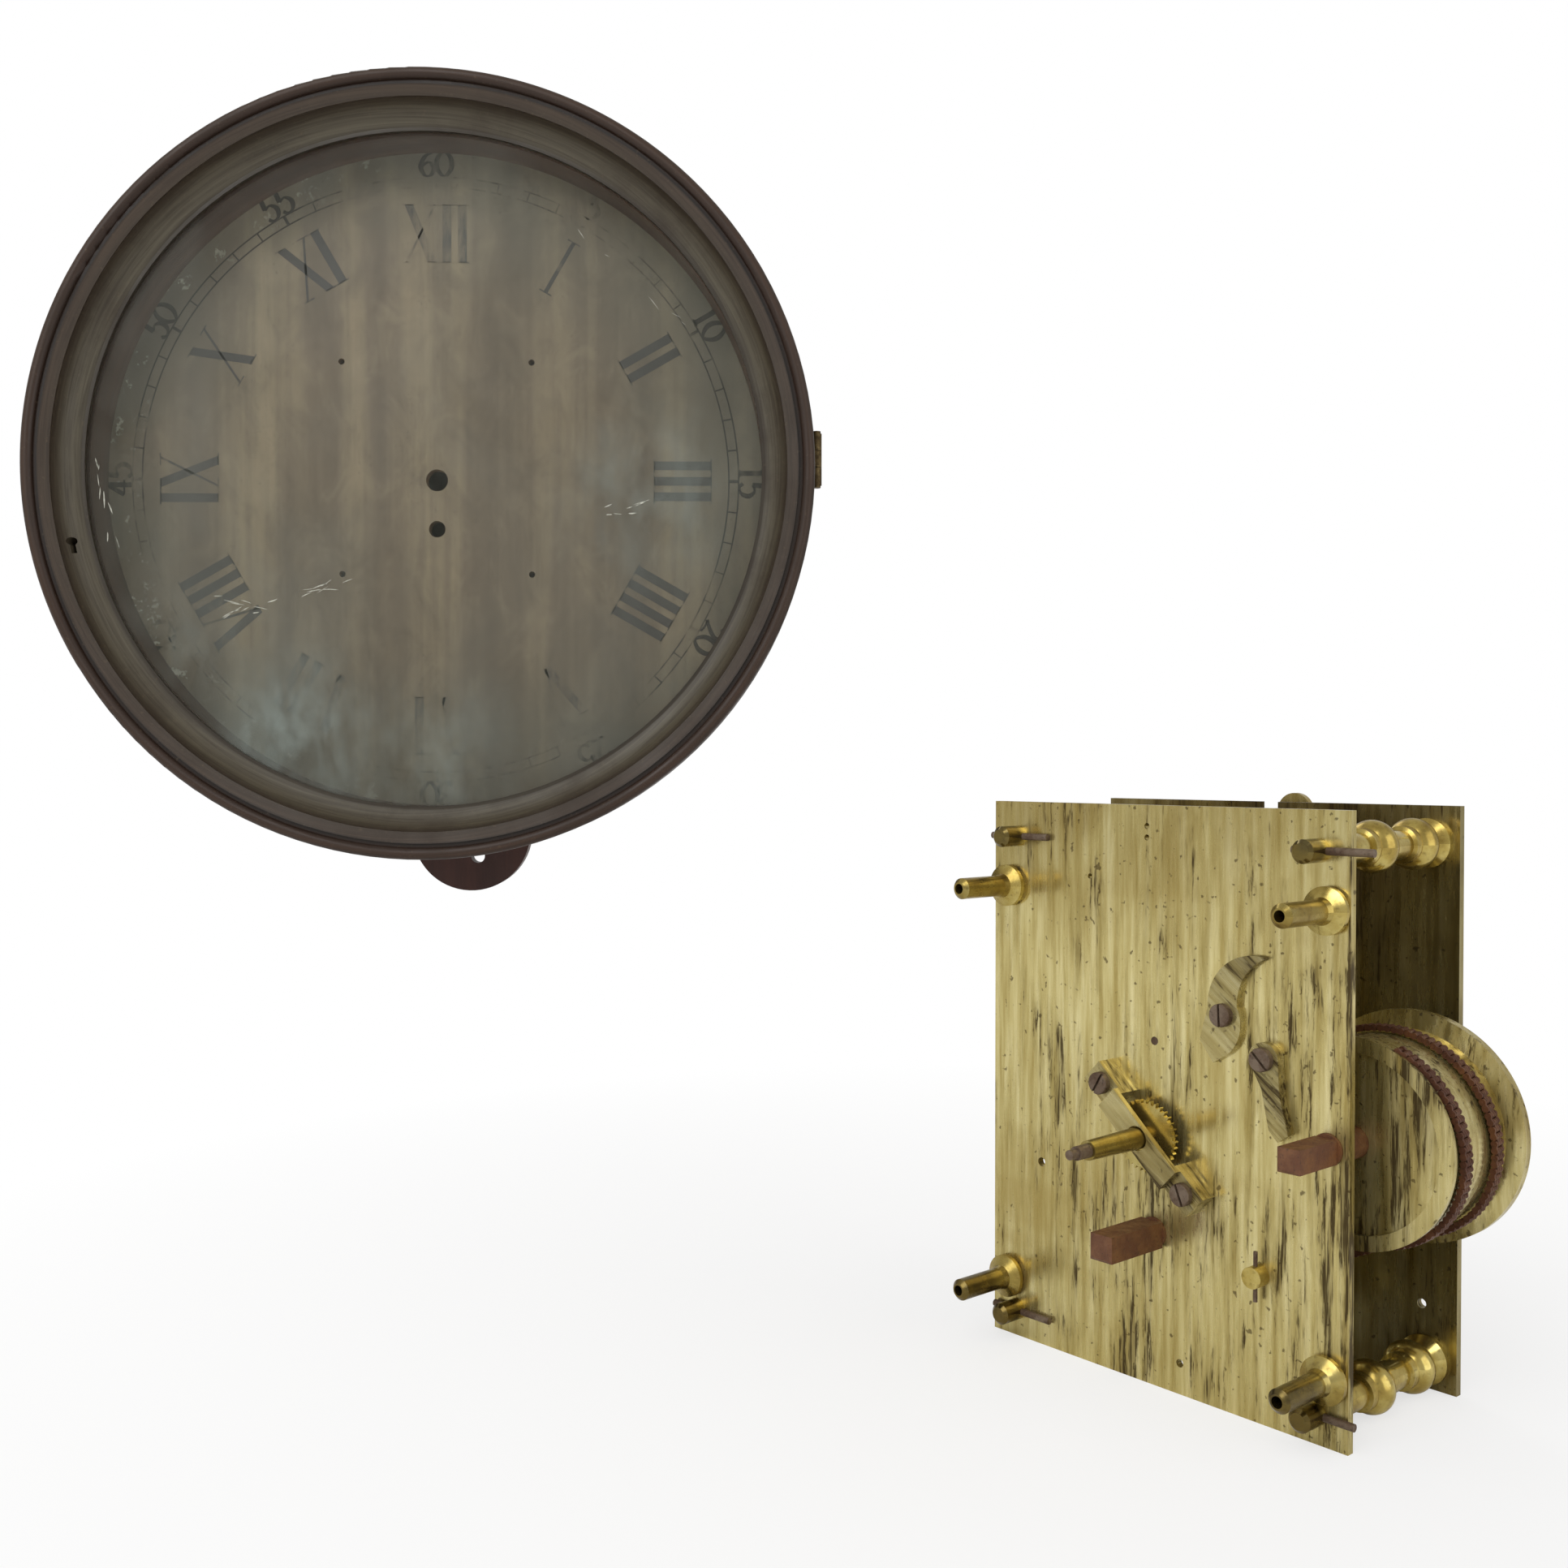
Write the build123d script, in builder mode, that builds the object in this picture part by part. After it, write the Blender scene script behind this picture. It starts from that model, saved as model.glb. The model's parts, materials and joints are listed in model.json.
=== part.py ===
from build123d import *
import os
from math import atan2, cos, degrees, hypot, pi, radians, sin, sqrt

os.makedirs("parts", exist_ok=True)

# A round wooden wall clock with its spring driven fusee movement taken out and stood beside it.
# The case hangs on the wall plane y = 0 and faces -Y. Its dial axis is x = 0, z = 0.
# In the case, depth counts from the wall towards the viewer.
# In the movement, depth counts backwards from the front face of its front plate.

# Fits
RUNNING = 0.06          # radial play of a pivot or shaft in its hole
LOOSE = 0.3             # gap between moving faces
SEATED = 0.02           # radial gap of a fixed pin or screw in its hole

# Door ring with its glass
RING_RADIUS = 223.0
RING_THICKNESS = 26.0
RING_WIDTH = 30.0       # edge to sight opening
GLASS_OPENING = RING_RADIUS - RING_WIDTH
GLASS_SEAT = 6.0        # width of the rebate that the glass lies in
GLASS_THICKNESS = 2.4
GLASS_INSET = 4.0       # glass back behind the door's back face, inwards
BEAD_WIDTH = 7.0
GROOVE_WIDTH = 2.2
STEP_WIDTH = 6.5
STEP_DROP = 2.5         # outer edge of the step below the front
STEP_FALL = 1.5         # slope across the step
HOLLOW_DROP = 5.2       # hollow's outer edge below the front
HOLLOW_DEPTH = 12.0
HOLLOW_SAG = 0.66       # share of the depth reached half way
HOLLOW_LEAN = 1.5
SIGHT_EDGE = 2.0

# Surround behind the door, with the wooden dial
HOOP_INSET = 9.0        # hoop's outside within the ring
HOOP_LEDGE = 0.5        # hoop's bore outside the sight opening
DIAL_REBATE = 11.5
HOOP_RADIUS = RING_RADIUS - HOOP_INSET
HOOP_BORE = GLASS_OPENING + HOOP_LEDGE
HOOP_RISE = 26.0        # dial face to the door's back
DIAL_RADIUS = HOOP_BORE + DIAL_REBATE
DIAL_THICKNESS = 8.0
CENTRE_HOLE = 6.5
WINDING_HOLE = 4.9
DIAL_SCREW_HOLE = 1.85

# Box on the backboard
BOARD_THICKNESS = 12.0
BOX_WIDTH = 204.0
BOX_TOP = 135.0
BOX_BOTTOM = -138.0
BOX_DEPTH = 112.0
BOX_WALL = 10.0
BOARD_MARGIN = 6.0
BATTEN = 13.0
BATTEN_DEPTH = 18.0
BATTEN_LENGTH = 190.0
PEG_RADIUS = 4.5
PEG_LENGTH = 34.0
PEG_SPACING = 120.0
PEG_CHAMFER = 0.8

# Scrolled chin of the backboard
CHIN_INSET = 8.0        # middle of the chin's scroll within the ring
CHIN_X, CHIN_Z = -1.0, CHIN_INSET - RING_RADIUS
CHIN_TURN = 14.5        # degrees that the chin stands askew
CHIN_RADIUS = 39.4
SIDE_LOBE_RADIUS = 19.6
SIDE_LOBE_OUT = 51.6
SIDE_LOBE_UP = 16.6
CUSP_OUT, CUSP_UP = 7.0, 16.0     # cusp beyond the side lobe
EAR_OUT, EAR_UP = 114.5, 47.5
EAR_LEAN = 6.0
EAR_SAG = 2.0
EAR_TAPER = 8.0
CHIN_HEIGHT = 150.0
CHIN_HOLE = 4.6
CHIN_HOLE_DROP = 16.7

# Hanging plate
HANGER_WIDTH = 44.0
HANGER_HEIGHT = 46.0
HANGER_THICKNESS = 2.0
HANGER_SCREW = 1.9
HANGER_HOLE = 6.0
HANGER_ABOVE = 20.0     # plate above the board's arched top
HANGER_FOOT = 5.0       # plate's lower edge above the box
HANGER_HOLE_DROP = 12.0
HANGER_CORNER = 10.0
HANGER_SCREW_X = 13.0
HANGER_SCREW_RISES = (8.0, 28.0)

# Side door
SIDE_DOOR_HEIGHT = 170.0
SIDE_STILE = 10.0       # board left on each side of the opening
SIDE_DOOR_WIDTH = BOX_DEPTH - BATTEN_DEPTH - 2 * SIDE_STILE
SIDE_DOOR_MID = 4.0
SIDE_HINGE_HEIGHT = 22.0
SIDE_HINGE_SPACING = 110.0
SIDE_KNUCKLE = 2.1
SIDE_PIN = 1.0
SIDE_FIXED_LEAF = 9.0
KNOB_RADIUS = 6.0
KNOB_LENGTH = 14.0
KNOB_EDGE = 12.0        # knob from the opening's front edge
PANEL_GAP = 0.8

# Door hinge and lock
HINGE_Z = 9.0
HINGE_HEIGHT = 30.0
HINGE_RADIUS = 3.0
HINGE_PIN = 1.4
LEAF_THICKNESS = 1.6
LEAF_LENGTH = 17.0
LOCK_ANGLE = 192.0
LOCK_INSET = 20.0
LOCK_RADIUS = RING_RADIUS - LOCK_INSET
LOCK_WIDTH = 13.0
LOCK_LENGTH = 30.0
LOCK_DEPTH = 14.0
LOCK_WALL = 1.5
KEY_RADIUS = 2.3
KEY_SLOT_WIDTH = 2.2
KEY_SLOT = 7.0
BOLT_TRAVEL = 4.0
BOLT_THICKNESS = 3.0
STAPLE_THICKNESS = 2.0
STAPLE_REACH = 8.0
STAPLE_BRIDGE = 1.0     # staple left beyond its window
BOLT_DEPTH = 4.0

# Where the movement stands
MOVEMENT_X = 304.0
MOVEMENT_Y = -615.0
MOVEMENT_TURN = -51.0   # degrees about the vertical
STAND_Z = -351.0        # table under the movement, below the case on the wall

# Plates, with the centre arbor at local x = 0, z = 0
PLATE_WIDTH = 125.0
PLATE_HEIGHT = 171.5
CENTRE_HEIGHT = 74.5
PLATE_THICKNESS = 2.5
PLATE_GAP = 57.0
NOTCH_WIDTH = 6.4
NOTCH_DEPTH = 6.6
FOOT_X = 56.2
FOOT_TOP = 70.1
FOOT_BOTTOM = -55.8
FOOT_LENGTH = 24.0
FOOT_RADIUS = 3.3
FOOT_FLANGE = 6.6
FOOT_THREAD = 1.6
FOOT_THREAD_LENGTH = 12.0
FOOT_CHAMFER = 1.2
FOOT_FLANGE_EDGE = 1.0
FOOT_FLANGE_THICKNESS = 2.4
FOOT_NECK = 6.0         # flange and its moulding
PILLAR_X = 53.0
PILLAR_TOP = 86.0
PILLAR_BOTTOM = -66.0
PILLAR_END = 3.3
PILLAR_SHAFT = 4.3
PILLAR_REACH = 9.0      # pinned end in front of the plate
KNOP_RADIUS = 7.6
KNOP_DEPTHS = (27.5, 50.0)
TAPER_PIN = 1.1
TAPER_PIN_LENGTH = 24.0
PILLAR_CHAMFER = 1.0
RIVET_COLLAR = 1.4
ARBOR_SHOULDER = 0.4    # end play between a shoulder and its plate
DROP_HOLE = (51.8, -50.0, 1.4)

# Train
FUSEE_DROP = 29.0       # fusee arbor below the centre
CONTRATE_RISE = 27.5    # contrate arbor above the centre
GREAT_TEETH = 96
CENTRE_PINION_LEAVES = 8
CENTRE_TEETH = 78
CONTRATE_PINION_LEAVES = 6
CONTRATE_TEETH = 60
CROWN_PINION_LEAVES = 6
CROWN_TEETH = 25
GREAT_DEPTH = 39.0
GREAT_THICKNESS = 3.0
CENTRE_DEPTH = 50.0
CENTRE_RIM = 3.4
CENTRE_ARM = 3.2
WHEEL_THICKNESS = 1.6
PINION_LENGTH = 6.5
PIVOT = 1.2
PINION_CORE = 0.8
ARBOR = 2.0

# Fusee
FUSEE_FRONT = 10.0
FUSEE_SMALL = 9.5
FUSEE_LARGE = 20.5
FUSEE_GROOVES = 7
FUSEE_GROOVE_DEPTH = 0.9
FUSEE_FLOOR = 1.0       # plain edge in front of the great wheel
FUSEE_CAP = 3.0         # front cap beyond the small end
FUSEE_CAP_FRONT = 2.6
FUSEE_CAP_BACK = 0.8
FUSEE_ARBOR = 4.4
WINDING_SQUARE = 7.6
WINDING_REACH = 25.6

# Going barrel
BARREL_X = 56.2
BARREL_Z = 6.0
BARREL_FRONT = 11.5
BARREL_LENGTH = 35.0
BARREL_RADIUS = 28.0
BARREL_RIM = 33.0
BARREL_FRONT_RIM = 29.2
BARREL_RIM_WIDTH = 4.0
BARREL_WALL = 2.0
COVER_RADIUS = 25.0
COVER_INSET = 1.6
BARREL_ARBOR = 4.4
BARREL_SQUARE = 6.6
BARREL_REACH = 20.0
SQUARE_START = 1.0      # round part of an arbor in front of the plate
SQUARE_CHAMFER = 0.9
CHAIN_RADIUS = 1.3
CHAIN_START = 14.5
CHAIN_END = 38.0
CHAIN_FIRST_ANGLE = 63.0      # degrees, seen from the front
CHAIN_SEAT = 0.05       # chain off the drum
FUSEE_CHAIN_DEPTH = 35.0

# Motion work on the front plate
CANNON_TEETH = 36
CANNON_WHEEL = 10.2
CANNON_WHEEL_RISE = 3.0
CANNON_RADIUS = 3.3
CANNON_REACH = 31.0
CENTRE_REACH = 39.0
HAND_PIN = 1.4
HAND_PIN_LENGTH = 3.0
BRIDGE_ANGLE = -43.2
BRIDGE_LENGTH = 50.0
BRIDGE_WIDTH = 8.0
BRIDGE_RISE = 7.0
BRIDGE_THICKNESS = 1.8
BRIDGE_FOOT = 10.0
BRIDGE_SEAT_DROP = 2.5  # screw seats below the bridge's top
BRIDGE_CHEEK = 2.0
SCREW_HEAD = 3.3
SCREW_HEAD_HEIGHT = 2.2
SCREW_SHANK = 1.3
SMALL_HEAD = 2.64

# Click, its spring and the stop work
CLICK_X, CLICK_Z = 38.4, 28.0
CLICK_END_X, CLICK_END_Z = 43.5, 6.0
CLICK_BOSS = 4.6
CLICK_WIDTH = 5.2
CLICK_THICKNESS = 3.2
SPRING_X, SPRING_Z = 24.7, 38.4
SPRING_BOSS = 4.8
SPRING_THICKNESS = 2.0
STOP_X, STOP_Z = 35.7, -32.9
STOP_RADIUS = 3.0
STOP_REACH = 4.5
STOP_IRON_WIDTH = 6.0
STOP_IRON_THICKNESS = 1.8
STOP_IRON_GAP = 3.2     # iron behind the front plate
STOP_TIP_GAP = 1.5      # iron's tip off the fusee's cap
STOP_PIN = 0.6
STOP_PIN_OUT = 4.0
IRON_HEEL = 1.5
IRON_NECK, IRON_SHOULDER = 4.0, 6.0

# Verge escapement
CROWN_DEPTH = 44.5
CROWN_RADIUS = 12.0
CROWN_RIM = 1.4
CROWN_BASE = 81.0
CROWN_HEIGHT = 4.0
CROWN_TOOTH = 4.0
CROWN_SPOKE = 2.0
VERGE_Z = 93.6
VERGE_RADIUS = 1.3
PALLET_LENGTH = 2.4
PALLET_WIDTH = 3.2
PALLET_THICKNESS = 0.8
PALLET_SPREAD = 96.0
POTENCE_HALF = 9.5
POTENCE_ARM = 1.6
POTENCE_FRONT = 27.0
POTENCE_TALL = 5.4
POTENCE_FOOT = 1.6
POTENCE_TOE = 13.0      # foot beyond the arm's middle
POTENCE_BRIDGE = 2.4    # front piece that carries the verge
POTENCE_SCREW_DROP = 18.0
PALM_OUT = 8.0          # middle of the screwed foot beyond the arm
PALM_DROP = 14.0
PALM_WIDTH, PALM_HEIGHT = 10.0, 18.0
CROWN_BAR_WIDTH = 4.0
CROWN_PIVOT = 0.8
CROWN_ARBOR = 1.4
CROWN_BAR = 1.3
CROWN_GAP = 0.7         # crown wheel's teeth below the potence
LOWER_POTENCE_Z = 35.0
LOWER_POTENCE_TALL = 4.0
LOWER_POTENCE_WIDTH = 9.0
LOWER_POTENCE_REACH = 2.6   # arm beyond the crown wheel's axis
LOWER_SCREW_OUT = 5.0
LOWER_PALM = 9.0            # screwed foot on each side of the arm
LOWER_PALM_RISE = 3.0
CONTRATE_RADIUS = 15.5
CONTRATE_RIM = 1.5
CONTRATE_TOOTH = 2.6
CONTRATE_ARM = 2.2
COCK_WIDTH = 12.0
COCK_RISE = 12.0
COCK_THICKNESS = 2.2
COCK_SPREAD = 17.0
COCK_DROP = 9.0         # cock's middle below the plate's top
COCK_CORNER = 2.0
COCK_POST = 5.5

DIAL_FACE = BOARD_THICKNESS + BOX_DEPTH + DIAL_THICKNESS
DOOR_BACK = DIAL_FACE + HOOP_RISE
DOOR_FRONT = DOOR_BACK + RING_THICKNESS
DIAL_BACK = DIAL_FACE - DIAL_THICKNESS
BACK_PLATE = PLATE_THICKNESS + PLATE_GAP
BACK_FACE = BACK_PLATE + PLATE_THICKNESS
PLATE_TOP = PLATE_HEIGHT - CENTRE_HEIGHT
MOVEMENT_Z = STAND_Z + CENTRE_HEIGHT
PILLARS = [(x, z) for x in (-PILLAR_X, PILLAR_X) for z in (PILLAR_TOP, PILLAR_BOTTOM)]
FEET = [(x, z) for x in (-FOOT_X, FOOT_X) for z in (FOOT_TOP, FOOT_BOTTOM)]
HINGE_X = RING_RADIUS + HINGE_RADIUS - 1.0
HINGE_DEPTH = DOOR_BACK - HINGE_RADIUS - LEAF_THICKNESS / 2


# Places in the case
def case(depth):
    """Plane across the case, x to the right and y up, this far in front of the wall."""
    return Plane.XZ.offset(depth)


DIAL_AXIS = Axis((0, 0, 0), (0, -1, 0))
CASE_SECTION = Plane(origin=(0, 0, 0), x_dir=(1, 0, 0), z_dir=(0, 0, -1))


# Places in the movement
TURN = radians(MOVEMENT_TURN)
RIGHT = Vector(cos(TURN), sin(TURN), 0)
FRONT = Vector(sin(TURN), -cos(TURN), 0)
UP = Vector(0, 0, 1)
CENTRE = Vector(MOVEMENT_X, MOVEMENT_Y, MOVEMENT_Z)


def spot(x, z, depth=0.0):
    """Point of the movement in shared coordinates."""
    return CENTRE + RIGHT * x + UP * z - FRONT * depth


def works(depth):
    """Plane parallel to the plates, x to the right and y up, this far behind the front face."""
    return Plane(origin=spot(0, 0, depth), x_dir=RIGHT, z_dir=FRONT)


def turning(x, z):
    """Half section of something turned: x is the radius and y the depth."""
    return Plane(origin=spot(x, z), x_dir=RIGHT, z_dir=UP)


def works_axis(x, z):
    return Axis(spot(x, z), -FRONT)


def side_on(x):
    """Plane seen from the right of the movement: x is the depth and y is up."""
    return Plane(origin=spot(x, 0), x_dir=-FRONT, z_dir=RIGHT)


def level(z, x=0.0, depth=0.0):
    """Horizontal plane in the movement, x to the right and y backwards."""
    return Plane(origin=spot(x, z, depth), x_dir=RIGHT, z_dir=UP)


# Outlines that repeat
def steps(*lengths):
    """Half section of a stepped arbor from (radius, from, to) lengths."""
    points = [(0, lengths[0][1])]
    for radius, start, end in lengths:
        points += [(radius, start), (radius, end)]
    return points + [(0, lengths[-1][2]), (0, lengths[0][1])]


def teeth_outline(teeth, pitch_radius, addendum, dedendum, half_root, half_pitch, half_tip, phase=0.0):
    """Closed outline of straight flanked teeth; phase is the angle of the first tooth."""
    points = []
    flank = (
        (pitch_radius - dedendum, -half_root),
        (pitch_radius, -half_pitch),
        (pitch_radius + addendum, -half_tip),
        (pitch_radius + addendum, half_tip),
        (pitch_radius, half_pitch),
        (pitch_radius - dedendum, half_root),
    )
    for tooth in range(teeth):
        middle = phase + 2 * pi * tooth / teeth
        for radius, half in flank:
            angle = middle + half / radius
            points.append((radius * cos(angle), radius * sin(angle)))
    return points + points[:1]


def wheel_outline(teeth, pitch_radius, phase=0.0):
    m = 2 * pitch_radius / teeth
    return teeth_outline(teeth, pitch_radius, 0.8 * m, 1.0 * m, 0.8 * m, 0.6 * m, 0.22 * m, phase)


def pinion_outline(leaves, pitch_radius, phase=0.0):
    m = 2 * pitch_radius / leaves
    return teeth_outline(leaves, pitch_radius, 0.3 * m, 1.3 * m, 0.3 * m, 0.42 * m, 0.3 * m, phase)


def pitch_radii(centres, wheel_teeth, pinion_leaves):
    module = 2 * centres / (wheel_teeth + pinion_leaves)
    return module * wheel_teeth / 2, module * pinion_leaves / 2


def crossing(inner, outer, arms, arm_width):
    """Corners of the windows between the arms of a wheel, one list for each."""
    windows = []
    for k in range(arms):
        start, end = 2 * pi * k / arms, 2 * pi * (k + 1) / arms
        corners = []
        for radius in (inner, outer):
            lean = (arm_width / 2) / radius
            corners.append((radius, start + lean, end - lean))
        windows.append(corners)
    return windows


def at(radius, angle):
    return (radius * cos(angle), radius * sin(angle))


GREAT_RADIUS, CENTRE_PINION = pitch_radii(FUSEE_DROP, GREAT_TEETH, CENTRE_PINION_LEAVES)
CENTRE_RADIUS, CONTRATE_PINION = pitch_radii(CONTRATE_RISE, CENTRE_TEETH, CONTRATE_PINION_LEAVES)
PINION_DEPTH = GREAT_DEPTH + GREAT_THICKNESS / 2 - PINION_LENGTH / 2
CONTRATE_PINION_DEPTH = CENTRE_DEPTH + WHEEL_THICKNESS / 2 - PINION_LENGTH / 2


# Backboard with its scrolled chin
CHIN = Plane(
    origin=(CHIN_X, 0, CHIN_Z),
    x_dir=(cos(radians(CHIN_TURN)), 0, sin(radians(CHIN_TURN))),
    z_dir=(0, -1, 0),
)
LOBE_SIDE = SIDE_LOBE_OUT + SIDE_LOBE_RADIUS
CUSP = (LOBE_SIDE + CUSP_OUT, SIDE_LOBE_UP + CUSP_UP)
with BuildPart() as backboard:
    with BuildSketch(case(0)):
        with BuildLine():
            half = BOX_WIDTH / 2 + BOARD_MARGIN
            Polyline((-half, BOX_TOP), (-half, BOX_BOTTOM), (half, BOX_BOTTOM), (half, BOX_TOP))
            ThreePointArc((half, BOX_TOP), (0, BOX_TOP + HANGER_HEIGHT), (-half, BOX_TOP))
        make_face()
    with BuildSketch(CHIN) as chin_shape:
        with BuildLine():
            RadiusArc((0, -CHIN_RADIUS), (CHIN_RADIUS, 0), -CHIN_RADIUS)
            ThreePointArc(
                (CHIN_RADIUS, 0),
                (SIDE_LOBE_OUT + EAR_SAG, SIDE_LOBE_UP - SIDE_LOBE_RADIUS),
                (LOBE_SIDE, SIDE_LOBE_UP),
            )
            Line((LOBE_SIDE, SIDE_LOBE_UP), CUSP)
            ThreePointArc(CUSP, ((LOBE_SIDE + EAR_OUT) / 2 + EAR_LEAN, EAR_UP + EAR_SAG), (EAR_OUT, EAR_UP))
            Polyline(
                (EAR_OUT, EAR_UP),
                (EAR_OUT - EAR_TAPER, CHIN_HEIGHT),
                (0, CHIN_HEIGHT),
                (0, -CHIN_RADIUS),
            )
        make_face()
        mirror(about=Plane.YZ)
        with Locations((0, -CHIN_HOLE_DROP)):
            Circle(CHIN_HOLE, mode=Mode.SUBTRACT)
    extrude(amount=BOARD_THICKNESS)
backboard.part.label = "backboard"
export_step(backboard.part, "parts/backboard.step")


# Box of four boards; the right one has the side door's opening
BOX_HALF = BOX_WIDTH / 2
BOX_MIDDLE = (BOX_TOP + BOX_BOTTOM) / 2
DOOR_DEPTH_MID = BOARD_THICKNESS + BOX_DEPTH / 2


def box_side_plane(x):
    """Plane across the box, x is the depth and y is up; it faces left, so extrusions go left."""
    return Plane(origin=(x, 0, 0), x_dir=(0, -1, 0), z_dir=(-1, 0, 0))


for name, start in (("box_left_side", BOX_WALL - BOX_HALF), ("box_right_side", BOX_HALF)):
    with BuildPart() as side:
        with BuildSketch(box_side_plane(start)):
            with Locations((DOOR_DEPTH_MID, BOX_MIDDLE)):
                Rectangle(BOX_DEPTH, BOX_TOP - BOX_BOTTOM)
            with Locations(*[
                (DIAL_BACK - BATTEN_DEPTH / 2, BOX_MIDDLE + k * PEG_SPACING / 2) for k in (-1, 1)
            ]):
                Circle(PEG_RADIUS + SEATED, mode=Mode.SUBTRACT)
            if name == "box_right_side":
                with Locations((DOOR_DEPTH_MID - BATTEN_DEPTH / 2, SIDE_DOOR_MID)):
                    Rectangle(SIDE_DOOR_WIDTH, SIDE_DOOR_HEIGHT, mode=Mode.SUBTRACT)
        extrude(amount=BOX_WALL)
    side.part.label = name
    export_step(side.part, f"parts/{name}.step")

for name, bottom in (("box_top", BOX_TOP - BOX_WALL), ("box_bottom", BOX_BOTTOM)):
    with BuildPart() as lid:
        with BuildSketch(case(BOARD_THICKNESS)):
            with Locations((0, bottom + BOX_WALL / 2)):
                Rectangle(BOX_WIDTH - 2 * BOX_WALL, BOX_WALL)
        extrude(amount=BOX_DEPTH)
    lid.part.label = name
    export_step(lid.part, f"parts/{name}.step")

BATTEN_X = BOX_HALF - BOX_WALL - BATTEN / 2
with BuildPart() as box_battens:
    with BuildSketch(case(DIAL_BACK - BATTEN_DEPTH)):
        with Locations((-BATTEN_X, BOX_MIDDLE), (BATTEN_X, BOX_MIDDLE)):
            Rectangle(BATTEN, BATTEN_LENGTH)
    extrude(amount=BATTEN_DEPTH)
    for k in (-1, 1):
        with BuildSketch(box_side_plane(BOX_HALF)):
            with Locations((DIAL_BACK - BATTEN_DEPTH / 2, BOX_MIDDLE + k * PEG_SPACING / 2)):
                Circle(PEG_RADIUS + SEATED)
        extrude(amount=BOX_WIDTH, mode=Mode.SUBTRACT)
box_battens.part.label = "box_battens"
export_step(box_battens.part, "parts/box_battens.step")

PEG_OUT = PEG_LENGTH - BOX_WALL - BATTEN
with BuildPart() as box_pegs:
    for k in (-1, 1):
        for start in (BOX_HALF + PEG_OUT, BOX_WALL + BATTEN - BOX_HALF):
            with BuildSketch(box_side_plane(start)):
                with Locations((DIAL_BACK - BATTEN_DEPTH / 2, BOX_MIDDLE + k * PEG_SPACING / 2)):
                    Circle(PEG_RADIUS)
            extrude(amount=PEG_LENGTH)
    chamfer(box_pegs.edges().filter_by(GeomType.CIRCLE), PEG_CHAMFER)
box_pegs.part.label = "box_pegs"
export_step(box_pegs.part, "parts/box_pegs.step")


# Surround hoop with its rebate for the wooden dial, and the mortise of the lock
LOCK_TURN = radians(LOCK_ANGLE)
LOCK_PLANE = Plane(
    origin=(LOCK_RADIUS * cos(LOCK_TURN), -DOOR_BACK, LOCK_RADIUS * sin(LOCK_TURN)),
    x_dir=(cos(LOCK_TURN), 0, sin(LOCK_TURN)),
    z_dir=(0, -1, 0),
)
with BuildPart() as surround_hoop:
    with BuildSketch(CASE_SECTION):
        with BuildLine():
            Polyline(
                (HOOP_RADIUS, DIAL_BACK),
                (DIAL_RADIUS + SEATED, DIAL_BACK),
                (DIAL_RADIUS + SEATED, DIAL_FACE),
                (HOOP_BORE, DIAL_FACE),
                (HOOP_BORE, DOOR_BACK),
                (HOOP_RADIUS, DOOR_BACK),
                (HOOP_RADIUS, DIAL_BACK),
            )
        make_face()
    revolve(axis=DIAL_AXIS)
    with BuildSketch(LOCK_PLANE.offset(-LOCK_DEPTH)):
        Rectangle(LOCK_WIDTH, LOCK_LENGTH)
    extrude(amount=LOCK_DEPTH, mode=Mode.SUBTRACT)
    with BuildSketch(case(HINGE_DEPTH - LEAF_LENGTH)):
        with Locations((HOOP_RADIUS, HINGE_Z)):
            Rectangle(2 * LEAF_THICKNESS, HINGE_HEIGHT)
    extrude(until=Until.LAST, mode=Mode.SUBTRACT)
surround_hoop.part.label = "surround_hoop"
export_step(surround_hoop.part, "parts/surround_hoop.step")

with BuildPart() as dial_board:
    with BuildSketch(case(DIAL_BACK)):
        Circle(DIAL_RADIUS)
        Circle(CENTRE_HOLE, mode=Mode.SUBTRACT)
        with Locations((0, -FUSEE_DROP)):
            Circle(WINDING_HOLE, mode=Mode.SUBTRACT)
        with Locations(*FEET):
            Circle(DIAL_SCREW_HOLE, mode=Mode.SUBTRACT)
    extrude(amount=DIAL_THICKNESS)
dial_board.part.label = "dial_board"
export_step(dial_board.part, "parts/dial_board.step")


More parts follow.
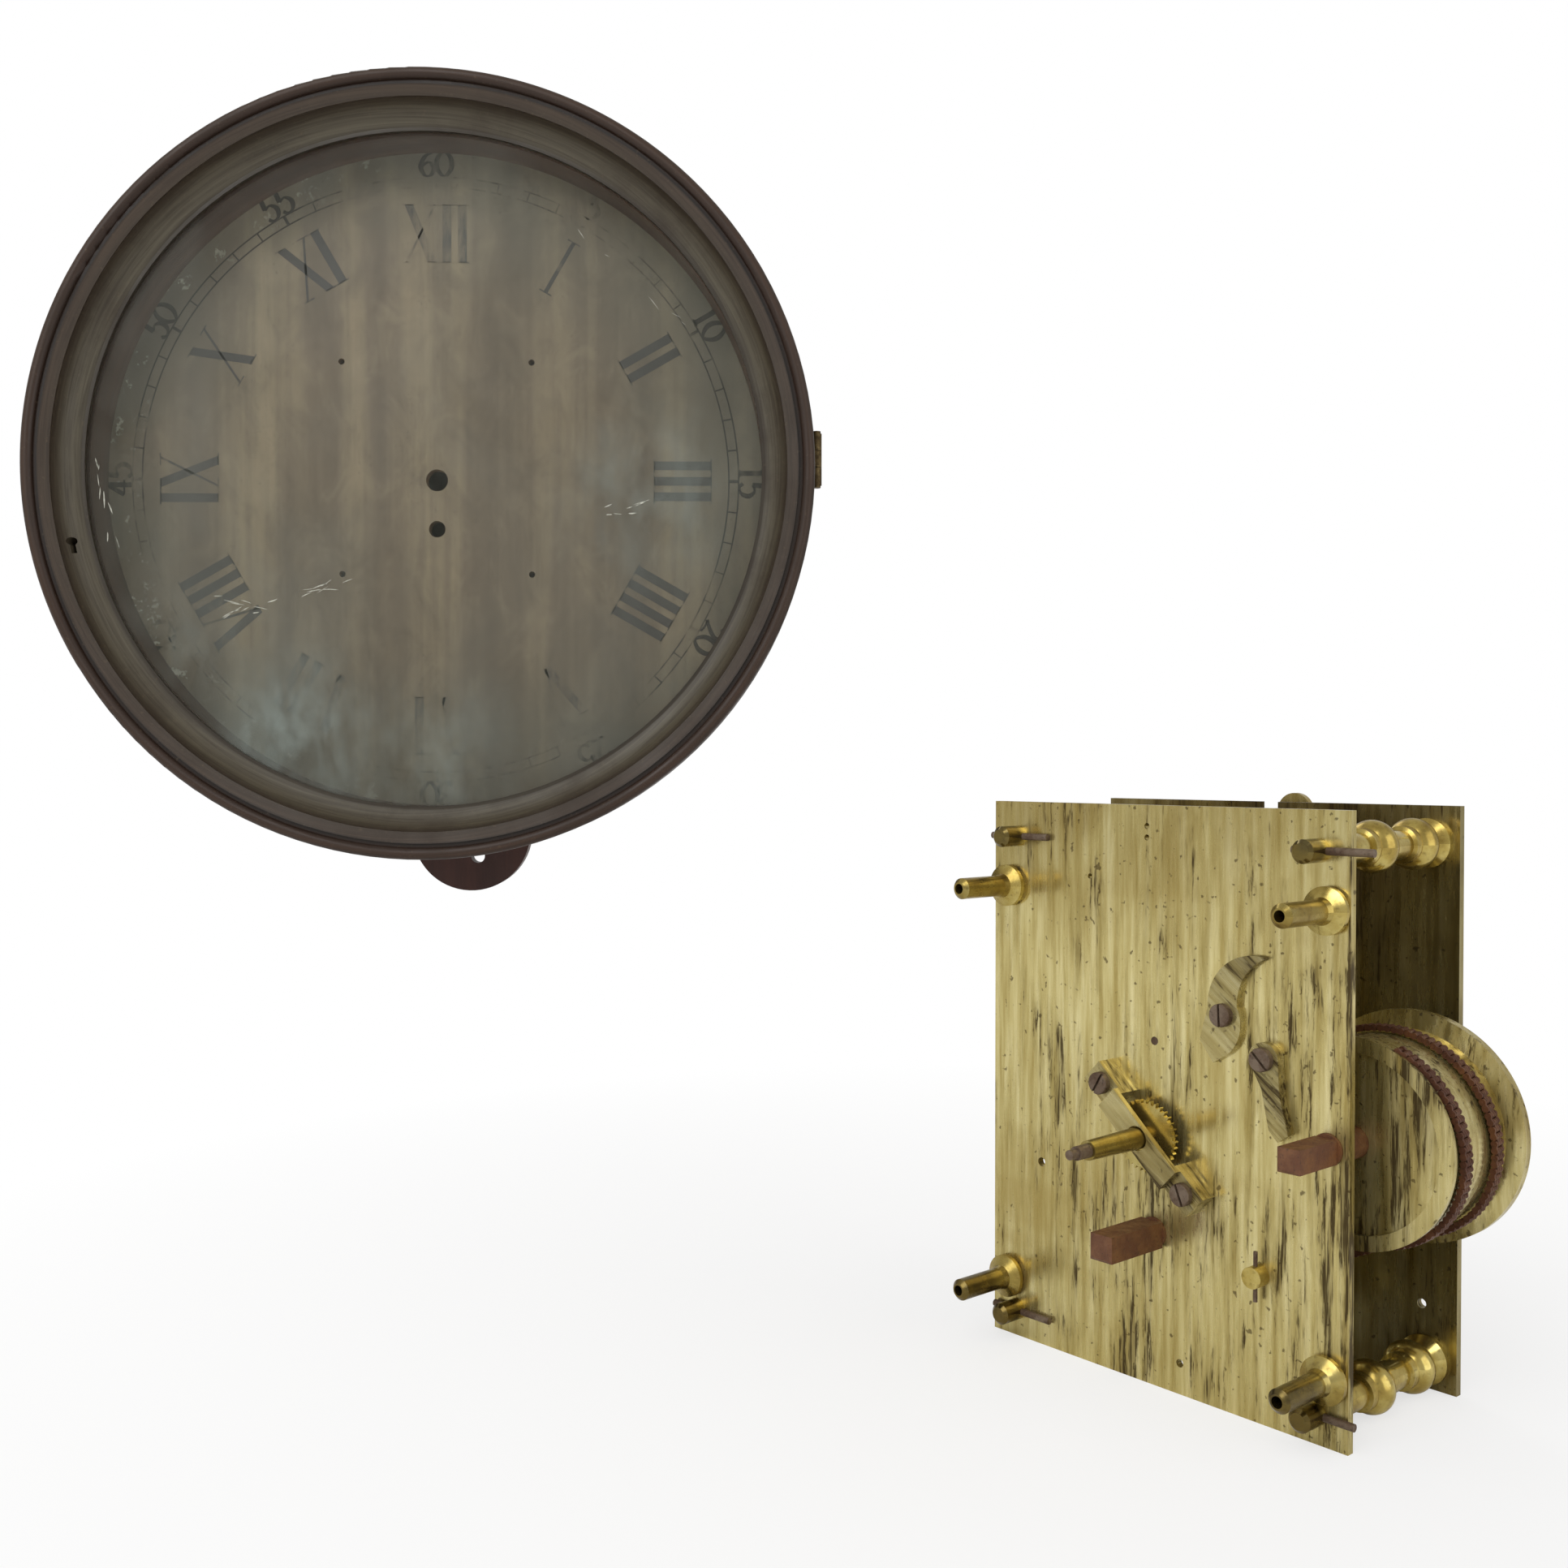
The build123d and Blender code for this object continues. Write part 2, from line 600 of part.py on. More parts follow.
# Door ring: bead, groove, step and broad hollow down to the glass
BEAD_INNER = RING_RADIUS - BEAD_WIDTH
STEP_OUTER = BEAD_INNER - GROOVE_WIDTH
STEP_INNER = STEP_OUTER - STEP_WIDTH
BEAD_FLAT = DOOR_FRONT - BEAD_WIDTH / 2
HOLLOW_FRONT = DOOR_FRONT - HOLLOW_DROP
HOLLOW_END = GLASS_OPENING + SIGHT_EDGE
GLASS_BACK = DOOR_BACK + GLASS_INSET
GLASS_FRONT = GLASS_BACK + GLASS_THICKNESS
GLASS_RADIUS = GLASS_OPENING + GLASS_SEAT
with BuildPart() as bezel_door:
    with BuildSketch(CASE_SECTION):
        with BuildLine():
            Polyline(
                (GLASS_RADIUS + SEATED, DOOR_BACK),
                (RING_RADIUS, DOOR_BACK),
                (RING_RADIUS, BEAD_FLAT),
            )
            ThreePointArc(
                (RING_RADIUS, BEAD_FLAT),
                (RING_RADIUS - BEAD_WIDTH / 2, DOOR_FRONT),
                (BEAD_INNER, BEAD_FLAT),
            )
            Polyline(
                (BEAD_INNER, BEAD_FLAT),
                (STEP_OUTER, BEAD_FLAT),
                (STEP_OUTER, DOOR_FRONT - STEP_DROP),
                (STEP_INNER, DOOR_FRONT - STEP_DROP - STEP_FALL),
                (STEP_INNER, HOLLOW_FRONT),
            )
            ThreePointArc(
                (STEP_INNER, HOLLOW_FRONT),
                ((STEP_INNER + HOLLOW_END) / 2 + HOLLOW_LEAN, HOLLOW_FRONT - HOLLOW_DEPTH * HOLLOW_SAG),
                (HOLLOW_END, HOLLOW_FRONT - HOLLOW_DEPTH),
            )
            Polyline(
                (HOLLOW_END, HOLLOW_FRONT - HOLLOW_DEPTH),
                (GLASS_OPENING, HOLLOW_FRONT - HOLLOW_DEPTH),
                (GLASS_OPENING, GLASS_FRONT),
                (GLASS_RADIUS + SEATED, GLASS_FRONT),
                (GLASS_RADIUS + SEATED, DOOR_BACK),
            )
        make_face()
    revolve(axis=DIAL_AXIS)
    with BuildSketch(LOCK_PLANE):
        Circle(KEY_RADIUS)
        with Locations((0, KEY_SLOT / 2)):
            Rectangle(KEY_SLOT_WIDTH, KEY_SLOT)
    extrude(amount=RING_THICKNESS, mode=Mode.SUBTRACT)
bezel_door.part.label = "bezel_door"
export_step(bezel_door.part, "parts/bezel_door.step")

with BuildPart() as dial_glass:
    with BuildSketch(case(GLASS_BACK)):
        Circle(GLASS_RADIUS)
    extrude(amount=GLASS_THICKNESS)
dial_glass.part.label = "dial_glass"
export_step(dial_glass.part, "parts/dial_glass.step")

with BuildPart() as glazing_bead:
    with BuildSketch(CASE_SECTION):
        with BuildLine():
            Polyline(
                (GLASS_RADIUS, DOOR_BACK + LOOSE),
                (GLASS_RADIUS, GLASS_BACK),
                (GLASS_RADIUS - GLASS_SEAT + 1, GLASS_BACK),
                (GLASS_RADIUS, DOOR_BACK + LOOSE),
            )
        make_face()
    revolve(axis=DIAL_AXIS)
glazing_bead.part.label = "glazing_bead"
export_step(glazing_bead.part, "parts/glazing_bead.step")


# Hinge of the door ring, at its right edge
def knuckle(bottom, top, bore):
    """Barrel of a hinge on the door axis, with its bore."""
    with BuildSketch(Plane.XY.offset(bottom)) as barrel_ring:
        with Locations((HINGE_X, -HINGE_DEPTH)):
            Circle(HINGE_RADIUS)
    extrude(barrel_ring.sketch, amount=top - bottom)
    with BuildSketch(Plane.XY.offset(bottom)) as pin_hole:
        with Locations((HINGE_X, -HINGE_DEPTH)):
            Circle(bore)
    extrude(pin_hole.sketch, amount=top - bottom, mode=Mode.SUBTRACT)


KNUCKLE = HINGE_HEIGHT / 3
HINGE_BOTTOM = HINGE_Z - HINGE_HEIGHT / 2
LEAF_INNER = HOOP_RADIUS - LEAF_THICKNESS
with BuildPart() as bezel_hinge_fixed_leaf:
    for bottom in (HINGE_BOTTOM, HINGE_BOTTOM + 2 * KNUCKLE):
        with BuildSketch(Plane.XY.offset(bottom)):
            with BuildLine():
                Polyline(
                    (LEAF_INNER, -HINGE_DEPTH + LEAF_LENGTH),
                    (HOOP_RADIUS, -HINGE_DEPTH + LEAF_LENGTH),
                    (HOOP_RADIUS, -HINGE_DEPTH + LEAF_THICKNESS),
                    (HINGE_X, -HINGE_DEPTH + LEAF_THICKNESS),
                    (HINGE_X, -HINGE_DEPTH),
                    (LEAF_INNER, -HINGE_DEPTH),
                    (LEAF_INNER, -HINGE_DEPTH + LEAF_LENGTH),
                )
            make_face()
        extrude(amount=KNUCKLE)
        knuckle(bottom, bottom + KNUCKLE, HINGE_PIN + SEATED)
    with BuildSketch(Plane.XY.offset(HINGE_BOTTOM)):
        with Locations((LEAF_INNER + LEAF_THICKNESS / 2, -HINGE_DEPTH + LEAF_LENGTH / 2)):
            Rectangle(LEAF_THICKNESS, LEAF_LENGTH)
    extrude(amount=HINGE_HEIGHT)
bezel_hinge_fixed_leaf.part.label = "bezel_hinge_fixed_leaf"
export_step(bezel_hinge_fixed_leaf.part, "parts/bezel_hinge_fixed_leaf.step")

with BuildPart() as bezel_hinge_door_leaf:
    door_knuckle_bottom = HINGE_BOTTOM + KNUCKLE + LOOSE
    door_knuckle_top = HINGE_BOTTOM + 2 * KNUCKLE - LOOSE
    with BuildSketch(Plane.XY.offset(door_knuckle_bottom)):
        with Locations(((HOOP_RADIUS + 1 + HINGE_X) / 2, -DOOR_BACK + LEAF_THICKNESS / 2)):
            Rectangle(HINGE_X - HOOP_RADIUS - 1, LEAF_THICKNESS)
    extrude(amount=door_knuckle_top - door_knuckle_bottom)
    knuckle(door_knuckle_bottom, door_knuckle_top, HINGE_PIN + RUNNING)
bezel_hinge_door_leaf.part.label = "bezel_hinge_door_leaf"
export_step(bezel_hinge_door_leaf.part, "parts/bezel_hinge_door_leaf.step")

with BuildPart() as bezel_hinge_pin:
    with BuildSketch(Plane.XY.offset(HINGE_BOTTOM)):
        with Locations((HINGE_X, -HINGE_DEPTH)):
            Circle(HINGE_PIN)
    extrude(amount=HINGE_HEIGHT)
    for end in (HINGE_BOTTOM - HINGE_PIN, HINGE_BOTTOM + HINGE_HEIGHT):
        with BuildSketch(Plane.XY.offset(end)):
            with Locations((HINGE_X, -HINGE_DEPTH)):
                Circle(HINGE_RADIUS * 0.8)
        extrude(amount=HINGE_PIN)
bezel_hinge_pin.part.label = "bezel_hinge_pin"
export_step(bezel_hinge_pin.part, "parts/bezel_hinge_pin.step")


# Lock let into the surround, with its bolt and the door's staple
STAPLE_Y = -LOCK_LENGTH / 3
BOLT_NOSE = STAPLE_Y + STAPLE_THICKNESS / 2 + LOOSE
BOLT_SHOULDER = -BOLT_NOSE - BOLT_TRAVEL
KEY_ROOM = KEY_RADIUS + LOOSE
BOLT_WIDTH = LOCK_WIDTH - 2 * LOCK_WALL - 2 * LOOSE
STAPLE_WIDTH = BOLT_WIDTH - 2 * LOOSE
with BuildPart() as lock_case:
    with BuildSketch(LOCK_PLANE.offset(-LOCK_DEPTH)):
        Rectangle(LOCK_WIDTH - 2 * SEATED, LOCK_LENGTH - 2 * SEATED)
    extrude(amount=LOCK_DEPTH)
    with BuildSketch(LOCK_PLANE.offset(LOCK_WALL - LOCK_DEPTH)):
        Rectangle(LOCK_WIDTH - 2 * LOCK_WALL, LOCK_LENGTH - 2 * LOCK_WALL)
    extrude(amount=LOCK_DEPTH - 2 * LOCK_WALL, mode=Mode.SUBTRACT)
    with BuildSketch(LOCK_PLANE.offset(-LOCK_WALL)):
        Circle(KEY_RADIUS)
        with Locations((0, KEY_SLOT / 2)):
            Rectangle(KEY_SLOT_WIDTH, KEY_SLOT)
        with Locations((0, STAPLE_Y)):
            Rectangle(LOCK_WIDTH - 2 * LOCK_WALL, STAPLE_THICKNESS + 2 * LOOSE)
    extrude(amount=LOCK_WALL, mode=Mode.SUBTRACT)
lock_case.part.label = "lock_case"
export_step(lock_case.part, "parts/lock_case.step")

with BuildPart() as lock_bolt:
    with BuildSketch(LOCK_PLANE.offset(-BOLT_DEPTH - BOLT_THICKNESS)):
        with BuildLine():
            Polyline(
                (-BOLT_WIDTH / 2, LOCK_LENGTH / 4),
                (-BOLT_WIDTH / 2, -BOLT_SHOULDER),
                (-BOLT_WIDTH / 4, -BOLT_SHOULDER),
                (-BOLT_WIDTH / 4, BOLT_NOSE),
                (BOLT_WIDTH / 4, BOLT_NOSE),
                (BOLT_WIDTH / 4, -KEY_ROOM),
                (-KEY_ROOM, -KEY_ROOM),
                (-KEY_ROOM, LOCK_LENGTH / 4),
                (-BOLT_WIDTH / 2, LOCK_LENGTH / 4),
            )
        make_face()
    extrude(amount=BOLT_THICKNESS)
lock_bolt.part.label = "lock_bolt"
export_step(lock_bolt.part, "parts/lock_bolt.step")

with BuildPart() as lock_staple:
    with BuildSketch(LOCK_PLANE.offset(-STAPLE_REACH - STAPLE_BRIDGE)):
        with Locations((0, STAPLE_Y)):
            Rectangle(STAPLE_WIDTH, STAPLE_THICKNESS)
    extrude(amount=STAPLE_REACH + STAPLE_BRIDGE)
    with BuildSketch(LOCK_PLANE.offset(-BOLT_DEPTH - BOLT_THICKNESS - LOOSE)):
        with Locations((0, STAPLE_Y)):
            Rectangle(BOLT_WIDTH / 2 + 4 * LOOSE, STAPLE_THICKNESS)
    extrude(amount=BOLT_THICKNESS + 2 * LOOSE, mode=Mode.SUBTRACT)
lock_staple.part.label = "lock_staple"
export_step(lock_staple.part, "parts/lock_staple.step")


# Hanging plate at the top of the backboard
HANGER_TOP = BOX_TOP + HANGER_HEIGHT + HANGER_ABOVE
HANGER_BOTTOM = BOX_TOP + HANGER_FOOT
HANGER_HOLE_Z = HANGER_TOP - HANGER_HOLE_DROP
HANGER_SCREWS = [
    (x, HANGER_BOTTOM + rise) for rise in HANGER_SCREW_RISES for x in (-HANGER_SCREW_X, HANGER_SCREW_X)
]
with BuildPart() as hanging_plate:
    with BuildSketch(case(BOARD_THICKNESS)):
        with Locations((0, (HANGER_TOP + HANGER_BOTTOM) / 2)):
            RectangleRounded(HANGER_WIDTH, HANGER_TOP - HANGER_BOTTOM, HANGER_CORNER)
        with Locations((0, HANGER_HOLE_Z)):
            Circle(HANGER_HOLE, mode=Mode.SUBTRACT)
        with Locations(*HANGER_SCREWS):
            Circle(HANGER_SCREW + SEATED, mode=Mode.SUBTRACT)
    extrude(amount=HANGER_THICKNESS)
hanging_plate.part.label = "hanging_plate"
export_step(hanging_plate.part, "parts/hanging_plate.step")

with BuildPart() as hanging_screws:
    with BuildSketch(case(BOARD_THICKNESS)):
        with Locations(*HANGER_SCREWS):
            Circle(HANGER_SCREW)
    extrude(amount=HANGER_THICKNESS)
    with BuildSketch(case(BOARD_THICKNESS + HANGER_THICKNESS)):
        with Locations(*HANGER_SCREWS):
            Circle(HANGER_SCREW * 2)
    extrude(amount=HANGER_SCREW * 0.8)
hanging_screws.part.label = "hanging_screws"
export_step(hanging_screws.part, "parts/hanging_screws.step")


# Side door on the right of the box
OPENING_BACK = DOOR_DEPTH_MID - BATTEN_DEPTH / 2 - SIDE_DOOR_WIDTH / 2
SIDE_AXIS_X = BOX_HALF + SIDE_KNUCKLE
SIDE_AXIS_DEPTH = OPENING_BACK
SIDE_THIRD = SIDE_HINGE_HEIGHT / 3
SIDE_HINGES = [SIDE_DOOR_MID + k * SIDE_HINGE_SPACING / 2 for k in (-1, 1)]
with BuildPart() as side_door:
    with BuildSketch(box_side_plane(BOX_HALF)):
        with Locations((OPENING_BACK + SIDE_DOOR_WIDTH / 2, SIDE_DOOR_MID)):
            Rectangle(SIDE_DOOR_WIDTH - 2 * PANEL_GAP, SIDE_DOOR_HEIGHT - 2 * PANEL_GAP)
    extrude(amount=BOX_WALL)
side_door.part.label = "side_door"
export_step(side_door.part, "parts/side_door.step")

with BuildPart() as side_door_knob:
    knob_spot = (BOX_HALF, -(OPENING_BACK + SIDE_DOOR_WIDTH - KNOB_EDGE), SIDE_DOOR_MID)
    with BuildSketch(Plane(origin=knob_spot, x_dir=(0, 0, 1), z_dir=(0, 1, 0))):
        with BuildLine():
            neck = KNOB_RADIUS / 2
            Polyline((0, KNOB_LENGTH), (0, 0), (neck, 0), (neck, KNOB_LENGTH / 2))
            ThreePointArc((neck, KNOB_LENGTH / 2), (KNOB_RADIUS, KNOB_LENGTH * 0.75), (neck, KNOB_LENGTH))
            Line((neck, KNOB_LENGTH), (0, KNOB_LENGTH))
        make_face()
    revolve(axis=Axis(knob_spot, (1, 0, 0)))
side_door_knob.part.label = "side_door_knob"
export_step(side_door_knob.part, "parts/side_door_knob.step")


def side_leaf(hinge_z, direction, knuckles, bore):
    """Leaf and knuckles of one side hinge; direction is +1 towards the front."""
    height = SIDE_HINGE_HEIGHT if direction < 0 else SIDE_THIRD - 2 * LOOSE
    reach = direction * (LEAF_LENGTH if direction > 0 else SIDE_FIXED_LEAF)
    with BuildSketch(box_side_plane(BOX_HALF + LEAF_THICKNESS)) as leaf:
        with Locations((SIDE_AXIS_DEPTH + reach / 2, hinge_z)):
            Rectangle(abs(reach), height)
    extrude(leaf.sketch, amount=LEAF_THICKNESS)
    for bottom, top in knuckles:
        with BuildSketch(Plane.XY.offset(hinge_z + bottom)) as ring:
            with Locations((SIDE_AXIS_X, -SIDE_AXIS_DEPTH)):
                Circle(SIDE_KNUCKLE)
        extrude(ring.sketch, amount=top - bottom)
    if direction < 0:
        with BuildSketch(box_side_plane(BOX_HALF + 2 * HINGE_RADIUS)) as gap:
            with Locations((SIDE_AXIS_DEPTH, hinge_z)):
                Rectangle(2 * HINGE_RADIUS, SIDE_THIRD)
        extrude(gap.sketch, amount=2 * HINGE_RADIUS, mode=Mode.SUBTRACT)
    with BuildSketch(Plane.XY.offset(hinge_z - SIDE_HINGE_HEIGHT / 2)) as pin_hole:
        with Locations((SIDE_AXIS_X, -SIDE_AXIS_DEPTH)):
            Circle(bore)
    extrude(pin_hole.sketch, amount=SIDE_HINGE_HEIGHT, mode=Mode.SUBTRACT)


with BuildPart() as side_hinge_fixed_leaves:
    for hinge_z in SIDE_HINGES:
        side_leaf(
            hinge_z,
            -1,
            [(-1.5 * SIDE_THIRD, -0.5 * SIDE_THIRD), (0.5 * SIDE_THIRD, 1.5 * SIDE_THIRD)],
            SIDE_PIN + SEATED,
        )
side_hinge_fixed_leaves.part.label = "side_hinge_fixed_leaves"
export_step(side_hinge_fixed_leaves.part, "parts/side_hinge_fixed_leaves.step")

with BuildPart() as side_hinge_door_leaves:
    for hinge_z in SIDE_HINGES:
        side_leaf(hinge_z, 1, [(-0.5 * SIDE_THIRD + LOOSE, 0.5 * SIDE_THIRD - LOOSE)], SIDE_PIN + RUNNING)
side_hinge_door_leaves.part.label = "side_hinge_door_leaves"
export_step(side_hinge_door_leaves.part, "parts/side_hinge_door_leaves.step")

with BuildPart() as side_hinge_pins:
    for hinge_z in SIDE_HINGES:
        with BuildSketch(Plane.XY.offset(hinge_z - SIDE_HINGE_HEIGHT / 2)):
            with Locations((SIDE_AXIS_X, -SIDE_AXIS_DEPTH)):
                Circle(SIDE_PIN)
        extrude(amount=SIDE_HINGE_HEIGHT)
side_hinge_pins.part.label = "side_hinge_pins"
export_step(side_hinge_pins.part, "parts/side_hinge_pins.step")


# Front and back plates
PLATE_MIDDLE = PLATE_TOP - PLATE_HEIGHT / 2
FUSEE_AT = (0, -FUSEE_DROP)
CONTRATE_AT = (0, CONTRATE_RISE)
BARREL_AT = (BARREL_X, BARREL_Z)
BRIDGE_TURN = radians(BRIDGE_ANGLE)
BRIDGE_SCREWS = [at(k * (BRIDGE_LENGTH - BRIDGE_FOOT) / 2, BRIDGE_TURN) for k in (-1, 1)]
FRONT_SCREWS = BRIDGE_SCREWS + [(CLICK_X, CLICK_Z), (SPRING_X, SPRING_Z)]
COCK_Z = PLATE_TOP - COCK_DROP
COCK_SCREWS = [(-COCK_SPREAD, COCK_Z), (COCK_SPREAD, COCK_Z)]
POTENCE_SCREWS = [(side * (POTENCE_HALF + PALM_OUT), PLATE_TOP - POTENCE_SCREW_DROP) for side in (1, -1)]
LOWER_SCREWS = [(side * (LOWER_POTENCE_WIDTH / 2 + LOWER_SCREW_OUT), LOWER_POTENCE_Z) for side in (-1, 1)]
MAKERS_HOLES = [
    (-24.1, 74.8, 0.8),
    (-3.0, 90.8, 0.9),
    (-3.0, 87.4, 0.9),
    (-42.9, -16.7, 1.4),
    (9.3, -65.4, 1.2),
]
with BuildPart() as front_plate:
    with BuildSketch(works(PLATE_THICKNESS)):
        with Locations((0, PLATE_MIDDLE)):
            Rectangle(PLATE_WIDTH, PLATE_HEIGHT)
        with Locations(*PILLARS):
            Circle(PILLAR_END + SEATED, mode=Mode.SUBTRACT)
        with Locations(*FRONT_SCREWS):
            Circle(SCREW_SHANK + SEATED, mode=Mode.SUBTRACT)
        with Locations(FUSEE_AT):
            Circle(FUSEE_ARBOR + RUNNING, mode=Mode.SUBTRACT)
        with Locations(BARREL_AT):
            Circle(BARREL_ARBOR + RUNNING, mode=Mode.SUBTRACT)
        with Locations((0, 0)):
            Circle(ARBOR + RUNNING, mode=Mode.SUBTRACT)
        with Locations(CONTRATE_AT):
            Circle(PIVOT + RUNNING, mode=Mode.SUBTRACT)
        with Locations((STOP_X, STOP_Z)):
            Circle(STOP_RADIUS + SEATED, mode=Mode.SUBTRACT)
        for x, z, radius in MAKERS_HOLES:
            with Locations((x, z)):
                Circle(radius, mode=Mode.SUBTRACT)
    extrude(amount=PLATE_THICKNESS)
front_plate.part.label = "front_plate"
export_step(front_plate.part, "parts/front_plate.step")

with BuildPart() as back_plate:
    with BuildSketch(works(BACK_FACE)):
        with Locations((0, PLATE_MIDDLE)):
            Rectangle(PLATE_WIDTH, PLATE_HEIGHT)
        with Locations((0, PLATE_TOP - NOTCH_DEPTH / 2)):
            Rectangle(NOTCH_WIDTH, NOTCH_DEPTH, mode=Mode.SUBTRACT)
        with Locations(*PILLARS):
            Circle(PILLAR_END + SEATED, mode=Mode.SUBTRACT)
        with Locations(FUSEE_AT, BARREL_AT, (0, 0), CONTRATE_AT):
            Circle(PIVOT + RUNNING, mode=Mode.SUBTRACT)
        with Locations(*COCK_SCREWS, *POTENCE_SCREWS, *LOWER_SCREWS):
            Circle(SCREW_SHANK + SEATED, mode=Mode.SUBTRACT)
        with Locations(DROP_HOLE[:2]):
            Circle(DROP_HOLE[2], mode=Mode.SUBTRACT)
    extrude(amount=PLATE_THICKNESS)
back_plate.part.label = "back_plate"
export_step(back_plate.part, "parts/back_plate.step")


# Turned pillars with two knops, riveted behind and pinned in front
def knop(depth):
    """Ring, hollow and ball of one knop, as radius and depth."""
    return [
        (PILLAR_SHAFT, depth - KNOP_RADIUS * 0.95),
        (PILLAR_SHAFT * 1.25, depth - KNOP_RADIUS * 0.9),
        (PILLAR_SHAFT * 1.25, depth - KNOP_RADIUS * 0.72),
        (KNOP_RADIUS * 0.72, depth - KNOP_RADIUS * 0.55),
    ]


with BuildPart() as pillars:
    for x, z in PILLARS:
        with BuildSketch(turning(x, z)):
            with BuildLine():
                points = [(0, -PILLAR_REACH), (PILLAR_END * 0.7, -PILLAR_REACH)]
                points += [(PILLAR_END, PILLAR_CHAMFER - PILLAR_REACH), (PILLAR_END, PLATE_THICKNESS)]
                points += [(PILLAR_SHAFT, PLATE_THICKNESS)]
                start = points[0]
                for depth in KNOP_DEPTHS:
                    points += knop(depth)
                    Polyline(*points)
                    tail = (KNOP_RADIUS * 0.72, depth + KNOP_RADIUS * 0.55)
                    ThreePointArc(points[-1], (KNOP_RADIUS, depth), tail)
                    points = [tail, (PILLAR_SHAFT * 1.1, depth + KNOP_RADIUS * 0.8)]
                points += [
                    (PILLAR_SHAFT * 1.7, BACK_PLATE - RIVET_COLLAR),
                    (PILLAR_SHAFT * 1.7, BACK_PLATE),
                    (PILLAR_END, BACK_PLATE),
                    (PILLAR_END, BACK_FACE),
                    (0, BACK_FACE),
                    start,
                ]
                Polyline(*points)
            make_face()
        revolve(axis=works_axis(x, z))
    for x, z in PILLARS:
        with BuildSketch(Plane(origin=spot(x - PILLAR_END * 2, z, -TAPER_PIN), x_dir=UP, z_dir=RIGHT)):
            Circle(TAPER_PIN + SEATED)
        extrude(amount=PILLAR_END * 4, mode=Mode.SUBTRACT)
pillars.part.label = "pillars"
export_step(pillars.part, "parts/pillars.step")

# Taper pins through the pillars' front ends, each driven in at its own slant
PIN_ENDS = [(-0.4, 0.55), (-0.35, 0.6), (-0.3, 0.7), (-0.5, 0.5)]
with BuildPart() as pillar_pins:
    for (x, z), (start, end) in zip(PILLARS, PIN_ENDS):
        pin_start = spot(x + start * TAPER_PIN_LENGTH, z, -TAPER_PIN)
        with BuildSketch(Plane(origin=pin_start, x_dir=UP, z_dir=RIGHT)):
            Circle(TAPER_PIN)
        extrude(amount=(end - start) * TAPER_PIN_LENGTH)
pillar_pins.part.label = "pillar_pins"
export_step(pillar_pins.part, "parts/pillar_pins.step")

# Dial feet: flanged posts with a chamfered end and a threaded hole
with BuildPart() as dial_feet:
    for x, z in FEET:
        with BuildSketch(turning(x, z)):
            with BuildLine():
                Polyline(
                    (0, 0),
                    (FOOT_FLANGE * 0.9, 0),
                    (FOOT_FLANGE, -FOOT_FLANGE_EDGE),
                    (FOOT_FLANGE, -FOOT_FLANGE_THICKNESS),
                    (FOOT_FLANGE * 0.75, -FOOT_NECK * 0.57),
                    (FOOT_RADIUS * 1.15, -FOOT_NECK * 0.7),
                    (FOOT_RADIUS, -FOOT_NECK),
                    (FOOT_RADIUS, FOOT_CHAMFER - FOOT_LENGTH),
                    (FOOT_RADIUS - FOOT_CHAMFER, -FOOT_LENGTH),
                    (FOOT_THREAD, -FOOT_LENGTH),
                    (FOOT_THREAD, FOOT_THREAD_LENGTH - FOOT_LENGTH),
                    (0, FOOT_THREAD_LENGTH - FOOT_LENGTH),
                    (0, 0),
                )
            make_face()
        revolve(axis=works_axis(x, z))
dial_feet.part.label = "dial_feet"
export_step(dial_feet.part, "parts/dial_feet.step")


# Motion work: bridge, cannon pipe with its wheel, and the centre arbor inside it
BRIDGE_FOOT_X = (BRIDGE_LENGTH - BRIDGE_FOOT) / 2
BRIDGE_SEAT = BRIDGE_RISE + BRIDGE_THICKNESS - BRIDGE_SEAT_DROP
CHEEK_X = BRIDGE_LENGTH / 2 - BRIDGE_FOOT - BRIDGE_CHEEK / 2
BRIDGE_PLANE = Plane(
    origin=spot(0, 0, 0),
    x_dir=RIGHT * cos(BRIDGE_TURN) + UP * sin(BRIDGE_TURN),
    z_dir=FRONT,
)
with BuildPart() as motion_bridge:
    with BuildSketch(BRIDGE_PLANE.offset(BRIDGE_RISE)):
        Rectangle(BRIDGE_LENGTH, BRIDGE_WIDTH)
        Circle(CANNON_RADIUS + LOOSE, mode=Mode.SUBTRACT)
        with Locations((-BRIDGE_FOOT_X, 0), (BRIDGE_FOOT_X, 0)):
            Rectangle(BRIDGE_FOOT, BRIDGE_WIDTH, mode=Mode.SUBTRACT)
    extrude(amount=BRIDGE_THICKNESS)
    with BuildSketch(BRIDGE_PLANE):
        with Locations((-BRIDGE_FOOT_X, 0), (BRIDGE_FOOT_X, 0)):
            Rectangle(BRIDGE_FOOT, BRIDGE_WIDTH)
            Circle(SCREW_SHANK + SEATED, mode=Mode.SUBTRACT)
    extrude(amount=BRIDGE_SEAT)
    with BuildSketch(BRIDGE_PLANE):
        with Locations((-CHEEK_X, 0), (CHEEK_X, 0)):
            Rectangle(BRIDGE_CHEEK, BRIDGE_WIDTH)
    extrude(amount=BRIDGE_RISE + BRIDGE_THICKNESS)
motion_bridge.part.label = "motion_bridge"
export_step(motion_bridge.part, "parts/motion_bridge.step")

